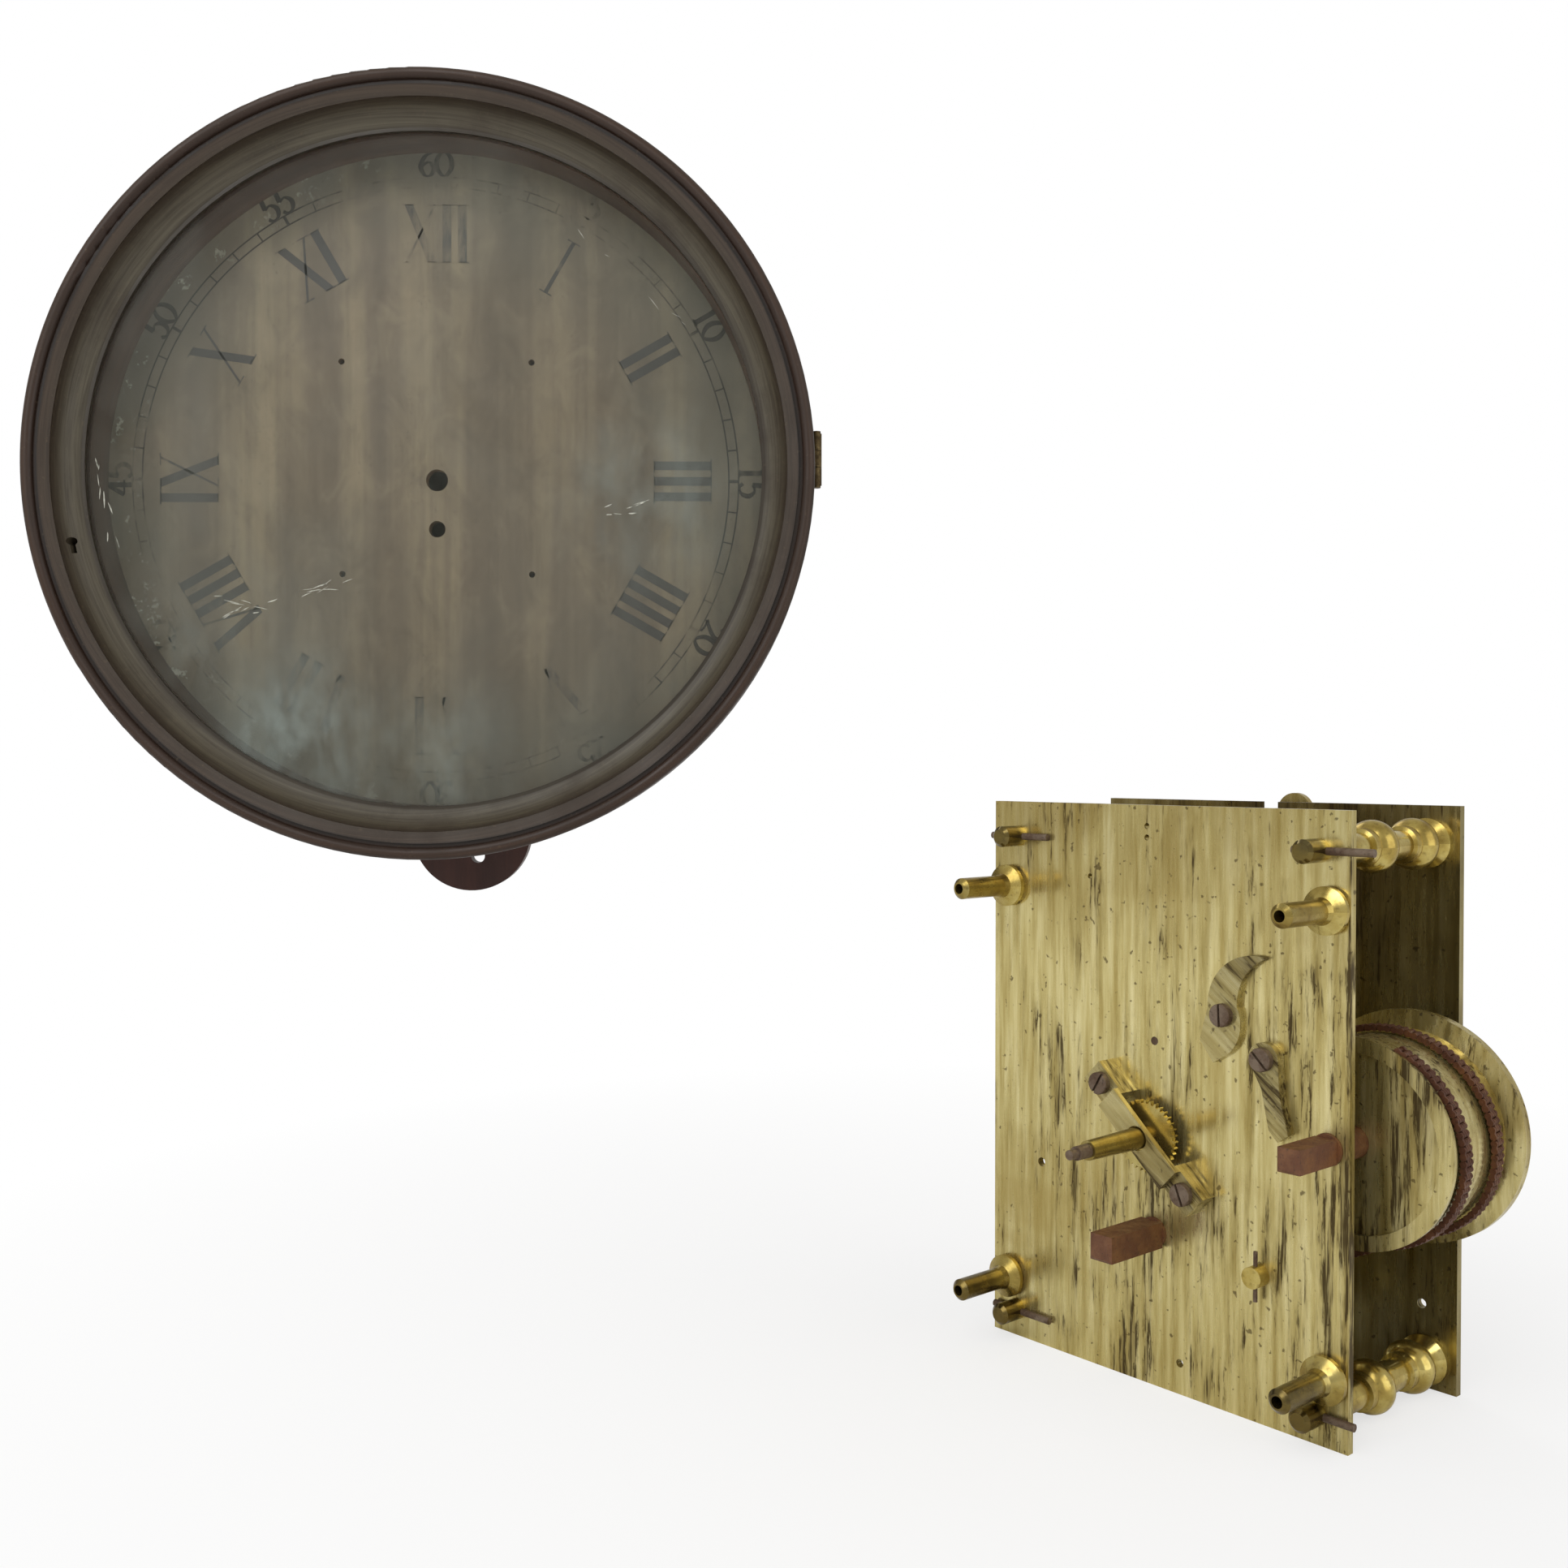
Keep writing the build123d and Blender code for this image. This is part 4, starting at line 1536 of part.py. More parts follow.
# Upper potence: two arms from the back plate, a front piece for the verge, a bar for the crown wheel
with BuildPart() as verge_potence:
    for side in (-1, 1):
        with BuildSketch(level(POTENCE_BOTTOM)):
            with BuildLine():
                inner = side * (POTENCE_HALF - POTENCE_ARM / 2)
                outer = side * (POTENCE_HALF + POTENCE_ARM / 2)
                foot = side * (POTENCE_HALF + POTENCE_TOE)
                Polyline(
                    (inner, POTENCE_FRONT),
                    (inner, BACK_PLATE),
                    (foot, BACK_PLATE),
                    (foot, BACK_PLATE - POTENCE_FOOT),
                    (outer, BACK_PLATE - POTENCE_FOOT),
                    (outer, POTENCE_FRONT),
                    (inner, POTENCE_FRONT),
                )
            make_face()
        extrude(amount=POTENCE_TALL)
        with BuildSketch(works(BACK_PLATE)):
            with Locations((side * (POTENCE_HALF + PALM_OUT), PLATE_TOP - PALM_DROP)):
                Rectangle(PALM_WIDTH, PALM_HEIGHT)
        extrude(amount=POTENCE_FOOT)
    with BuildSketch(works(POTENCE_FRONT + POTENCE_BRIDGE)):
        with Locations((0, POTENCE_BOTTOM + POTENCE_TALL / 2)):
            Rectangle(2 * POTENCE_HALF + POTENCE_ARM, POTENCE_TALL)
    extrude(amount=POTENCE_BRIDGE)
    with BuildSketch(level(POTENCE_BOTTOM, 0, CROWN_DEPTH)):
        Rectangle(2 * POTENCE_HALF, CROWN_BAR_WIDTH)
        Circle(CROWN_PIVOT + RUNNING, mode=Mode.SUBTRACT)
    extrude(amount=CROWN_BAR)
    with BuildSketch(works(POTENCE_FRONT + POTENCE_BRIDGE)):
        with Locations((0, VERGE_Z)):
            Circle(CROWN_PIVOT + RUNNING)
    extrude(amount=POTENCE_BRIDGE, mode=Mode.SUBTRACT)
    with BuildSketch(works(BACK_PLATE)):
        with Locations(*POTENCE_SCREWS):
            Circle(SCREW_SHANK + SEATED)
    extrude(amount=POTENCE_FOOT, mode=Mode.SUBTRACT)
verge_potence.part.label = "verge_potence"
export_step(verge_potence.part, "parts/verge_potence.step")

with BuildPart() as lower_potence:
    with BuildSketch(works(BACK_PLATE)):
        with Locations((0, LOWER_POTENCE_Z)):
            Rectangle(LOWER_POTENCE_WIDTH, LOWER_POTENCE_TALL)
    extrude(amount=BACK_PLATE - CROWN_DEPTH + LOWER_POTENCE_REACH)
    with BuildSketch(works(BACK_PLATE)):
        with Locations((0, LOWER_POTENCE_Z)):
            Rectangle(LOWER_POTENCE_WIDTH + 2 * LOWER_PALM, LOWER_POTENCE_TALL + LOWER_PALM_RISE)
    extrude(amount=POTENCE_FOOT)
    with BuildSketch(works(BACK_PLATE)):
        with Locations(*LOWER_SCREWS):
            Circle(SCREW_SHANK + SEATED)
    extrude(amount=POTENCE_FOOT, mode=Mode.SUBTRACT)
    with BuildSketch(level(LOWER_BOTTOM, 0, CROWN_DEPTH)):
        Circle(CROWN_PIVOT + RUNNING)
    extrude(amount=LOWER_POTENCE_TALL, mode=Mode.SUBTRACT)
lower_potence.part.label = "lower_potence"
export_step(lower_potence.part, "parts/lower_potence.step")

# Verge staff with its two pallets
COCK_DEPTH = BACK_FACE + COCK_RISE
COCK_BACK = COCK_DEPTH + COCK_THICKNESS
FOOT_SEAT = BACK_PLATE - POTENCE_FOOT
with BuildPart() as verge_staff:
    with BuildSketch(turning(0, VERGE_Z)):
        with BuildLine():
            Polyline(*steps(
                (CROWN_PIVOT, POTENCE_FRONT, POTENCE_FRONT + POTENCE_BRIDGE + LOOSE),
                (VERGE_RADIUS, POTENCE_FRONT + POTENCE_BRIDGE + LOOSE, COCK_DEPTH - LOOSE),
                (CROWN_PIVOT, COCK_DEPTH - LOOSE, COCK_BACK),
            ))
        make_face()
    revolve(axis=works_axis(0, VERGE_Z))
    for side in (-1, 1):
        lean = radians(side * PALLET_SPREAD / 2)
        down = RIGHT * sin(lean) - UP * cos(lean)
        middle = CROWN_DEPTH + side * CROWN_RADIUS
        with BuildSketch(Plane(origin=spot(0, VERGE_Z, middle), x_dir=-FRONT, z_dir=down)):
            Rectangle(PALLET_WIDTH, PALLET_THICKNESS)
        extrude(amount=VERGE_RADIUS + PALLET_LENGTH)
verge_staff.part.label = "verge_staff"
export_step(verge_staff.part, "parts/verge_staff.step")

# Back cock with the verge's rear bearing, and the screws of the back plate
with BuildPart() as back_cock:
    with BuildSketch(works(COCK_BACK)):
        with Locations((0, COCK_Z)):
            RectangleRounded(2 * COCK_SPREAD + COCK_WIDTH, COCK_WIDTH, COCK_CORNER)
        with Locations((0, VERGE_Z)):
            Circle(COCK_WIDTH / 2)
            Circle(CROWN_PIVOT + RUNNING, mode=Mode.SUBTRACT)
    extrude(amount=COCK_THICKNESS)
    with BuildSketch(works(COCK_DEPTH)):
        with Locations(*COCK_SCREWS):
            Circle(COCK_POST)
    extrude(amount=COCK_RISE)
    with BuildSketch(works(COCK_BACK)):
        with Locations(*COCK_SCREWS):
            Circle(SCREW_SHANK + SEATED)
    extrude(amount=COCK_RISE + COCK_THICKNESS, mode=Mode.SUBTRACT)
back_cock.part.label = "back_cock"
export_step(back_cock.part, "parts/back_cock.step")

with BuildPart() as back_plate_screws:
    for x, z in COCK_SCREWS:
        with BuildSketch(turning(x, z)):
            with BuildLine():
                Polyline(*steps(
                    (SCREW_SHANK, BACK_PLATE, COCK_BACK),
                    (SCREW_HEAD, COCK_BACK, COCK_BACK + SCREW_HEAD_HEIGHT),
                ))
            make_face()
        revolve(axis=works_axis(x, z))
    for x, z in POTENCE_SCREWS + LOWER_SCREWS:
        with BuildSketch(turning(x, z)):
            with BuildLine():
                Polyline(*steps(
                    (SMALL_HEAD, FOOT_SEAT - SCREW_HEAD_HEIGHT / 2, FOOT_SEAT),
                    (SCREW_SHANK, FOOT_SEAT, BACK_FACE),
                ))
            make_face()
        revolve(axis=works_axis(x, z))
back_plate_screws.part.label = "back_plate_screws"
export_step(back_plate_screws.part, "parts/back_plate_screws.step")
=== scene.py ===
import json
import math
import random

import bmesh
import bpy
from mathutils import Matrix, Vector


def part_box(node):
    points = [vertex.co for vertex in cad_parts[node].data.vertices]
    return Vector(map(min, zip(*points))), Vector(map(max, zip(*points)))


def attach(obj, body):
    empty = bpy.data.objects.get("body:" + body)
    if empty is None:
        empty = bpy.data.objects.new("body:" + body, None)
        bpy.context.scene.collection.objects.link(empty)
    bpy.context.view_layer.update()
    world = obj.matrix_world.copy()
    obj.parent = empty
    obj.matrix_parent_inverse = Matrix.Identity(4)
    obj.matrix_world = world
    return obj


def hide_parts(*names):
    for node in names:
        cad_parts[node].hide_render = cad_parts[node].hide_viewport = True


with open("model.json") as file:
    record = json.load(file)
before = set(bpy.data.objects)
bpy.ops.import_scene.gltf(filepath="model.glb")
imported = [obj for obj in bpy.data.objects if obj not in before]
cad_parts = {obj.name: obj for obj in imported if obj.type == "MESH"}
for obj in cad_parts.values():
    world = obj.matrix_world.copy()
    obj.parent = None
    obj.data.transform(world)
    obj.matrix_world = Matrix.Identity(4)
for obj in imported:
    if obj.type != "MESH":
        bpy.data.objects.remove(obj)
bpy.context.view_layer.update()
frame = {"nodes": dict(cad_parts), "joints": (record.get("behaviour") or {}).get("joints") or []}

nodes = frame["nodes"]
joints = {joint["name"]: joint for joint in frame["joints"]}
MM = 0.001

# The movement's own directions, and the centre arbor at the face of its front plate
FRONT = Vector(joints["centre_spin"]["axis"]).normalized()
UP = Vector((0, 0, 1))
RIGHT = UP.cross(FRONT)
JOINT_DEPTH = 20 * MM
CENTRE = Vector(joints["centre_spin"]["pos_m"]) + FRONT * JOINT_DEPTH
MOVEMENT_TURN = math.atan2(RIGHT.y, RIGHT.x)

# Print on the dial and the glass in front of it, in millimetres from the wall or the dial's axis
DIAL_FACE = 132.0
PRINT_LIFT = 0.12
NUMERAL_INNER, NUMERAL_OUTER = 129.0, 163.0
TRACK_INNER, TRACK_OUTER = 173.6, 179.4
MINUTE_RADIUS = 187.2
GLASS_FRONT = 164.4
SCRATCH_LIFT = 0.06


def spot(x, z, depth=0.0):
    """Point of the movement, given in millimetres from the centre arbor."""
    return CENTRE + (RIGHT * x + UP * z - FRONT * depth) * MM


def local(point):
    """Movement coordinates, in millimetres, of a point."""
    away = (Vector(point) - CENTRE) / MM
    return away.dot(RIGHT), away.dot(UP)


# Finishes
def tint(red, green, blue):
    """Linear colour from eight-bit values."""
    def curve(value):
        value /= 255
        return value / 12.92 if value <= 0.04045 else ((value + 0.055) / 1.055) ** 2.4

    return curve(red), curve(green), curve(blue), 1.0


class Finish:
    """A procedural material and short ways to add to it."""

    def __init__(self, name, roughness=0.5, metallic=0.0, **sockets):
        self.material = bpy.data.materials.new(name)
        self.material.use_nodes = True
        self.tree = self.material.node_tree
        self.shader = self.tree.nodes["Principled BSDF"]
        self.shader.inputs["Roughness"].default_value = roughness
        self.shader.inputs["Metallic"].default_value = metallic
        for socket, value in sockets.items():
            self.shader.inputs[socket.replace("_", " ")].default_value = value
        self.object_place = self.tree.nodes.new("ShaderNodeTexCoord").outputs["Object"]

    def add(self, kind, inputs, output=0, **settings):
        node = self.tree.nodes.new("ShaderNode" + kind)
        for key, value in settings.items():
            setattr(node, key, value)
        for key, value in inputs.items():
            if isinstance(value, bpy.types.NodeSocket):
                self.tree.links.new(value, node.inputs[key])
            else:
                node.inputs[key].default_value = value
        return node.outputs[output]

    # Numbers and vectors
    def times(self, first, second):
        return self.add("Math", {0: first, 1: second}, operation="MULTIPLY")

    def plus(self, first, second):
        return self.add("Math", {0: first, 1: second}, operation="ADD")

    def span(self, value, low, high, out_low=0.0, out_high=1.0):
        limits = {"From Min": low, "From Max": high, "To Min": out_low, "To Max": out_high}
        return self.add("MapRange", {"Value": value, **limits})

    def joined(self, x, y, z):
        return self.add("CombineXYZ", {0: x, 1: y, 2: z})

    def apart(self, vector):
        node = self.tree.nodes.new("ShaderNodeSeparateXYZ")
        self.tree.links.new(vector, node.inputs[0])
        return tuple(node.outputs)

    def distance(self, vector, point):
        return self.add("VectorMath", {0: vector, 1: point}, 1, operation="DISTANCE")

    # Coordinates
    def place(self, scale=(1, 1, 1), turn=(0, 0, 0), source=None):
        source = source or self.object_place
        return self.add("Mapping", {"Vector": source, "Scale": scale, "Rotation": turn})

    def movement_place(self, scale=(1, 1, 1), lean=0.0):
        """Coordinates upright in the movement: across, in depth and up, or leaning to one side."""
        upright = self.add(
            "Mapping",
            {"Vector": self.object_place, "Location": CENTRE, "Rotation": (0, 0, MOVEMENT_TURN)},
            vector_type="TEXTURE",
        )
        if lean:
            upright = self.place(turn=(0, lean, 0), source=upright)
        return self.place(scale, source=upright)

    def radius(self):
        """Distance from the dial's axis."""
        x, _, z = self.apart(self.object_place)
        return self.add("VectorMath", {0: self.joined(x, z, 0.0)}, 1, operation="LENGTH")

    def dial_place(self, across, along_axis, around):
        """Coordinates that run round the dial's axis: streaks follow the ring."""
        x, depth, z = self.apart(self.object_place)
        heading = self.add("VectorMath", {0: self.joined(x, 0.0, z)}, operation="NORMALIZE")
        side, _, height = self.apart(heading)
        ring = self.joined(self.times(side, around), self.times(height, around), 0.0)
        profile = self.joined(self.times(self.radius(), across), 0.0, self.times(depth, along_axis))
        return self.add("VectorMath", {0: ring, 1: profile}, operation="ADD")

    # Patterns and colours
    def noise(self, where, size, detail=4.0, rough=0.55, bend=0.0):
        shape = {"Scale": size, "Detail": detail, "Roughness": rough, "Distortion": bend}
        return self.add("TexNoise", {"Vector": where, **shape})

    def shades(self, value, *stops):
        node = self.tree.nodes.new("ShaderNodeValToRGB")
        ramp = node.color_ramp
        while len(ramp.elements) < len(stops):
            ramp.elements.new(1.0)
        for element, (position, colour) in zip(ramp.elements, stops):
            element.position = position
            element.color = tint(*colour)
        self.tree.links.new(value, node.inputs[0])
        return node.outputs[0]

    def mix(self, share, first, second):
        return self.add("Mix", {0: share, 6: first, 7: second}, 2, data_type="RGBA")

    def stain(self, tone, pattern, limits, most, colour):
        """Tone with a colour over it, from none at the first limit to the most at the second."""
        return self.mix(self.span(pattern, *limits, 0.0, most), tone, tint(*colour))

    # The shader's sockets
    def drive(self, socket, value):
        self.tree.links.new(value, self.shader.inputs[socket])

    def bump(self, height, strength, distance=0.0004):
        relief = {"Height": height, "Strength": strength, "Distance": distance}
        self.drive("Normal", self.add("Bump", relief))


BENT_GRAIN = 0.017      # share of the turn round the dial's axis, which keeps bent grain long


def wood(name, dark, middle, light, stretch=None, size=60.0, gloss=0.42):
    """Polished old wood with its grain along stretch's least side, or bent round the dial's axis."""
    finish = Finish(name, gloss, Specular_IOR_Level=0.35, Coat_Weight=0.05, Coat_Roughness=0.3)
    grain = finish.place(stretch) if stretch else finish.dial_place(1, 1, BENT_GRAIN)
    figure = finish.noise(grain, size * 0.5, 5, 0.62, 0.5)
    pores = finish.noise(grain, size * 4, 3, 0.7)
    dirt = finish.noise(finish.object_place, 14, 5, 0.6)
    tone = finish.shades(figure, (0.3, dark), (0.52, middle), (0.72, light))
    tone = finish.stain(tone, pores, (0.5, 0.75), 0.45, dark)
    tone = finish.stain(tone, dirt, (0.55, 0.8), 0.3, [part * 0.6 for part in dark])
    finish.drive("Base Color", tone)
    finish.drive("Roughness", finish.span(dirt, 0.3, 0.75, gloss - 0.1, gloss + 0.2))
    finish.bump(pores, 0.25)
    return finish


RING_SIGHT, RING_EDGE = 0.190, 0.224


def ring_wood():
    """Turned ring, from the olive hollow through the groove to the reddish outer bead, with painted
    shade at the inner edge and in the groove.
    """
    finish = Finish("ring_wood", 0.45, Specular_IOR_Level=0.3, Coat_Weight=0.04, Coat_Roughness=0.3)
    streaks = finish.noise(finish.dial_place(320, 320, 2.2), 2.2, 6, 0.62, 0.4)
    dirt = finish.noise(finish.object_place, 17, 6, 0.62)
    fine = finish.noise(finish.object_place, 420, 3, 0.6)
    tone = finish.shades(
        finish.span(finish.radius(), RING_SIGHT, RING_EDGE),
        # painted shade at the inner edge
        (0.02, (38, 33, 26)),
        (0.13, (62, 56, 46)),
        (0.22, (86, 80, 66)),
        (0.42, (78, 71, 57)),
        (0.50, (58, 49, 39)),
        (0.66, (66, 54, 43)),
        # painted shade in the groove
        (0.72, (24, 18, 14)),
        (0.79, (50, 35, 27)),
        (0.90, (62, 45, 34)),
        (0.98, (54, 39, 31)),
    )
    tone = finish.stain(tone, streaks, (0.42, 0.66), 0.5, (36, 27, 20))
    tone = finish.stain(tone, dirt, (0.5, 0.72), 0.55, (46, 35, 26))
    tone = finish.stain(tone, fine, (0.62, 0.75), 0.22, (108, 92, 70))
    finish.drive("Base Color", tone)
    finish.drive("Roughness", finish.span(dirt, 0.3, 0.7, 0.3, 0.58))
    finish.bump(streaks, 0.2)
    return finish


# Radii in metres where the dial's rim turns cool, and where its paint has flaked at the left
COOL_RIM = (0.110, 0.196)
FLAKED_RIM = (0.172, 0.194)
FLAKED_SIDE = (0.02, -0.13)


def dial_tone(finish):
    """Colour of the worn dial: upright pale streaks on olive brown, cool patches near the rim."""
    broad = finish.noise(finish.place((1, 1, 0.06)), 24, 3, 0.55, 0.3)
    narrow = finish.noise(finish.place((1, 1, 0.03)), 150, 4, 0.6)
    grime = finish.noise(finish.place((1, 1, 0.6)), 42, 7, 0.7, 0.7)
    patches = finish.noise(finish.object_place, 9, 5, 0.6, 0.5)
    crumbs = finish.noise(finish.object_place, 95, 5, 0.75)
    specks = finish.noise(finish.object_place, 620, 2, 0.5)
    radius = finish.radius()
    x, _, _ = finish.apart(finish.object_place)
    tone = finish.shades(
        broad,
        (0.30, (94, 84, 68)),
        (0.45, (111, 100, 81)),
        (0.56, (130, 118, 94)),
        (0.70, (147, 134, 106)),
    )
    tone = finish.stain(tone, narrow, (0.42, 0.66), 0.42, (96, 86, 70))
    tone = finish.stain(tone, grime, (0.50, 0.70), 0.42, (78, 70, 57))
    tone = finish.stain(tone, grime, (0.48, 0.30), 0.30, (158, 146, 118))
    cool = finish.times(finish.span(radius, *COOL_RIM), finish.span(patches, 0.38, 0.62, 0.25, 1.0))
    tone = finish.mix(finish.times(cool, 0.75), tone, tint(92, 94, 82))
    tone = finish.stain(tone, patches, (0.55, 0.75), 0.45, (84, 76, 63))
    edge = finish.times(finish.span(radius, *FLAKED_RIM), finish.span(x, *FLAKED_SIDE))
    tone = finish.mix(finish.times(edge, finish.span(crumbs, 0.58, 0.63)), tone, tint(164, 166, 150))
    tone = finish.stain(tone, specks, (0.64, 0.74), 0.5, (70, 64, 54))
    return tone, patches, narrow


BARE_FROM, BARE_TO = DIAL_FACE - 0.6, DIAL_FACE - 1.2


def dial_finish():
    """Painted face, and bare wood behind it."""
    finish = Finish("dial_paint", 0.55)
    tone, patches, narrow = dial_tone(finish)
    _, depth, _ = finish.apart(finish.object_place)
    behind = finish.span(depth, -BARE_FROM * MM, -BARE_TO * MM)
    bare = finish.shades(narrow, (0.35, (96, 76, 56)), (0.6, (128, 104, 76)))
    finish.drive("Base Color", finish.mix(behind, tone, bare))
    finish.drive("Roughness", finish.span(patches, 0.3, 0.7, 0.45, 0.7))
    finish.bump(narrow, 0.12)
    return finish


def ink_finish(name, colour, worn, whole):
    """Worn print: where it is rubbed away, the dial's own colour shows."""
    finish = Finish(name, 0.55)
    ground, patches, _ = dial_tone(finish)
    strength = finish.add("Attribute", {}, 2, attribute_name="strength")
    rubbed = finish.noise(finish.place((1, 1, 0.35)), 130, 6, 0.72)
    cloud = finish.noise(finish.object_place, 34, 3, 0.5)
    wear = finish.plus(finish.times(rubbed, 0.6), finish.times(cloud, 0.4))
    level = finish.plus(finish.times(strength, 0.42), wear)
    finish.drive("Base Color", finish.stain(ground, level, (worn, whole), 0.92, colour))
    finish.drive("Roughness", finish.span(patches, 0.3, 0.7, 0.45, 0.7))
    return finish


# Places in metres on the movement: the top of its plates, darkened there by painted shade, and their
# two sides
PLATE_SHADED_TOP = (0.045, 0.075)
PLATE_SIDES = (-0.06, 0.06)


def brass_plate(name, painted_shade_least=0.0, painted_shade_most=0.0, grain=0.0, metallic=0.88):
    """Rolled plate, satin, with dark tarnish along its grain, painted shade along its top, and darker
    all over by as much painted shade as it is given.
    """
    finish = Finish(name, 0.36, metallic)
    fibre = finish.noise(finish.movement_place((1, 1, 0.06), grain), 330, 5, 0.62)
    strokes = finish.noise(finish.movement_place((1, 1, 0.09), grain), 260, 6, 0.72, 0.25)
    fine = finish.noise(finish.movement_place((1, 1, 0.05), grain), 900, 3, 0.6, 0.2)
    cloud = finish.noise(finish.movement_place((1, 1, 0.55), grain), 24, 4, 0.6, 0.6)
    smear = finish.noise(finish.movement_place((0.25, 1, 1.4), grain), 22, 3, 0.5, 0.4)
    specks = finish.noise(finish.object_place, 480, 2, 0.5)
    x, _, z = finish.apart(finish.movement_place())
    tone = finish.shades(
        fibre,
        (0.32, (172, 153, 90)),
        (0.5, (203, 188, 127)),
        (0.68, (227, 215, 160)),
    )
    tone = finish.stain(tone, smear, (0.54, 0.7), 0.55, (168, 146, 82))
    # Painted shade: darker towards the top of the plates.
    top = finish.times(finish.span(z, *PLATE_SHADED_TOP, 0.0, 0.6), finish.span(cloud, 0.36, 0.6))
    tone = finish.mix(top, tone, tint(150, 128, 70))
    amount = finish.plus(finish.times(cloud, 0.42), finish.times(strokes, 0.58))
    amount = finish.plus(amount, finish.span(x, *PLATE_SIDES, -0.012, 0.014))
    tone = finish.stain(tone, amount, (0.50, 0.60), 0.45, (128, 108, 54))
    dark = finish.times(finish.span(amount, 0.55, 0.585), finish.span(fine, 0.44, 0.54, 0.15, 0.92))
    tone = finish.mix(dark, tone, tint(66, 52, 30))
    tone = finish.stain(tone, specks, (0.67, 0.72), 0.7, (72, 56, 32))
    # Painted shade over the whole piece, from the least to the most given.
    if painted_shade_most:
        shade = finish.span(cloud, 0.35, 0.62, painted_shade_least, painted_shade_most)
        tone = finish.mix(shade, tone, tint(58, 45, 22))
    finish.drive("Base Color", tone)
    finish.drive("Roughness", finish.span(amount, 0.45, 0.62, 0.17, 0.55))
    finish.bump(fibre, 0.1, 0.0002)
    return finish


TARNISH_HEIGHTS = (0.02, -0.06)


def brass_turned(name, dull=0.0, tarnish=0.0, reach=0.012, upper=0.4):
    """Turned and polished brass, dark with tarnish in front of the plates, and more so low down."""
    finish = Finish(name, 0.2 + dull, 0.92)
    cloud = finish.noise(finish.object_place, 90, 5, 0.6)
    fine = finish.noise(finish.object_place, 600, 3, 0.6)
    _, depth, height = finish.apart(finish.movement_place())
    tone = finish.shades(
        cloud,
        (0.3, (136, 112, 52)),
        (0.5, (184, 162, 88)),
        (0.7, (218, 202, 130)),
    )
    tone = finish.stain(tone, fine, (0.56, 0.74), 0.5, (104, 84, 42))
    front = finish.span(depth, 0.0, -reach, 0.0, tarnish)
    low = finish.span(height, *TARNISH_HEIGHTS, upper, 1.0)
    amount = finish.times(finish.times(front, low), finish.span(cloud, 0.3, 0.6, 0.5, 1.0))
    finish.drive("Base Color", finish.mix(amount, tone, tint(62, 50, 32)))
    finish.drive("Roughness", finish.span(cloud, 0.3, 0.7, 0.36 + dull, 0.14 + dull))
    finish.bump(fine, 0.08, 0.0002)
    return finish


def rusty(name, base, speckle, rust, metallic=0.6):
    """Metal browned by rust in patches."""
    finish = Finish(name, 0.5, metallic)
    cloud = finish.noise(finish.object_place, 160, 6, 0.65)
    fine = finish.noise(finish.object_place, 900, 4, 0.65)
    tone = finish.stain(tint(*base), cloud, (0.4, 0.58), 1.0, rust)
    finish.drive("Base Color", finish.stain(tone, fine, (0.56, 0.7), 0.75, speckle))
    finish.drive("Roughness", finish.span(cloud, 0.35, 0.65, 0.38, 0.72))
    finish.bump(fine, 0.35, 0.0003)
    return finish


# Heights over which the grey film, partly painted reflection, thickens towards the lower left
HAZE_AND_REFLECTION_HEIGHTS = (0.05, -0.22)
# Pale smears on the glass in metres: across, height, reach, and how much they hide
GLASS_SMEARS = (
    (-0.072, -0.152, 0.056, 0.34),
    (0.128, -0.012, 0.070, 0.18),
    (-0.128, -0.104, 0.050, 0.14),
    (0.005, -0.172, 0.070, 0.16),
)


def glass_finish():
    """Old glass: almost clear, with a grey film that is partly real and partly painted reflection,
    thicker low and to the left, and pale smears.
    """
    finish = Finish("old_glass", 0.08, Specular_IOR_Level=0.5, IOR=1.45)
    x, _, z = finish.apart(finish.object_place)
    cloud = finish.noise(finish.place((1, 1, 0.55)), 11, 6, 0.62, 0.8)
    rubbed = finish.noise(finish.place((1, 1, 0.6), (0, 0.5, 0)), 46, 6, 0.6, 0.2)
    # Partly painted reflection: the grey film is thicker low and to the left.
    low = finish.span(finish.plus(z, finish.times(x, 0.5)), *HAZE_AND_REFLECTION_HEIGHTS)
    haze_and_reflection = finish.times(finish.span(cloud, 0.35, 0.7, 0.25, 1.0), finish.span(low, 0.0, 1.0, 0.35, 1.0))
    smeared = None
    for across, height, reach, most in GLASS_SMEARS:
        away = finish.distance(finish.object_place, (across, -GLASS_FRONT * MM, height))
        smear = finish.times(
            finish.span(away, reach, reach * 0.2), finish.span(rubbed, 0.36, 0.68, 0.0, most)
        )
        if smeared is None:
            smeared = smear
        else:
            smeared = finish.add("Math", {0: smeared, 1: smear}, operation="MAXIMUM")
    # Grey of the film, partly painted reflection.
    clear = finish.shades(cloud, (0.3, (98, 99, 90)), (0.7, (120, 122, 113)))
    finish.drive("Base Color", finish.stain(clear, smeared, (0.0, 0.2), 1.0, (146, 156, 150)))
    finish.drive("Alpha", finish.plus(finish.span(haze_and_reflection, 0.0, 1.0, 0.03, 0.28), smeared))
    finish.drive("Roughness", finish.span(cloud, 0.3, 0.7, 0.12, 0.28))
    return finish


def putty_finish():
    finish = Finish("dark_putty", 0.75)
    cloud = finish.noise(finish.object_place, 120, 5, 0.6)
    finish.drive("Base Color", finish.shades(cloud, (0.35, (36, 30, 26)), (0.65, (62, 53, 44))))
    finish.bump(cloud, 0.4)
    return finish


def dust_finish():
    finish = Finish("scratch_dust", 0.7)
    grain = finish.noise(finish.object_place, 700, 3, 0.6)
    finish.drive("Base Color", finish.shades(grain, (0.4, (150, 150, 138)), (0.6, (196, 196, 184))))
    return finish


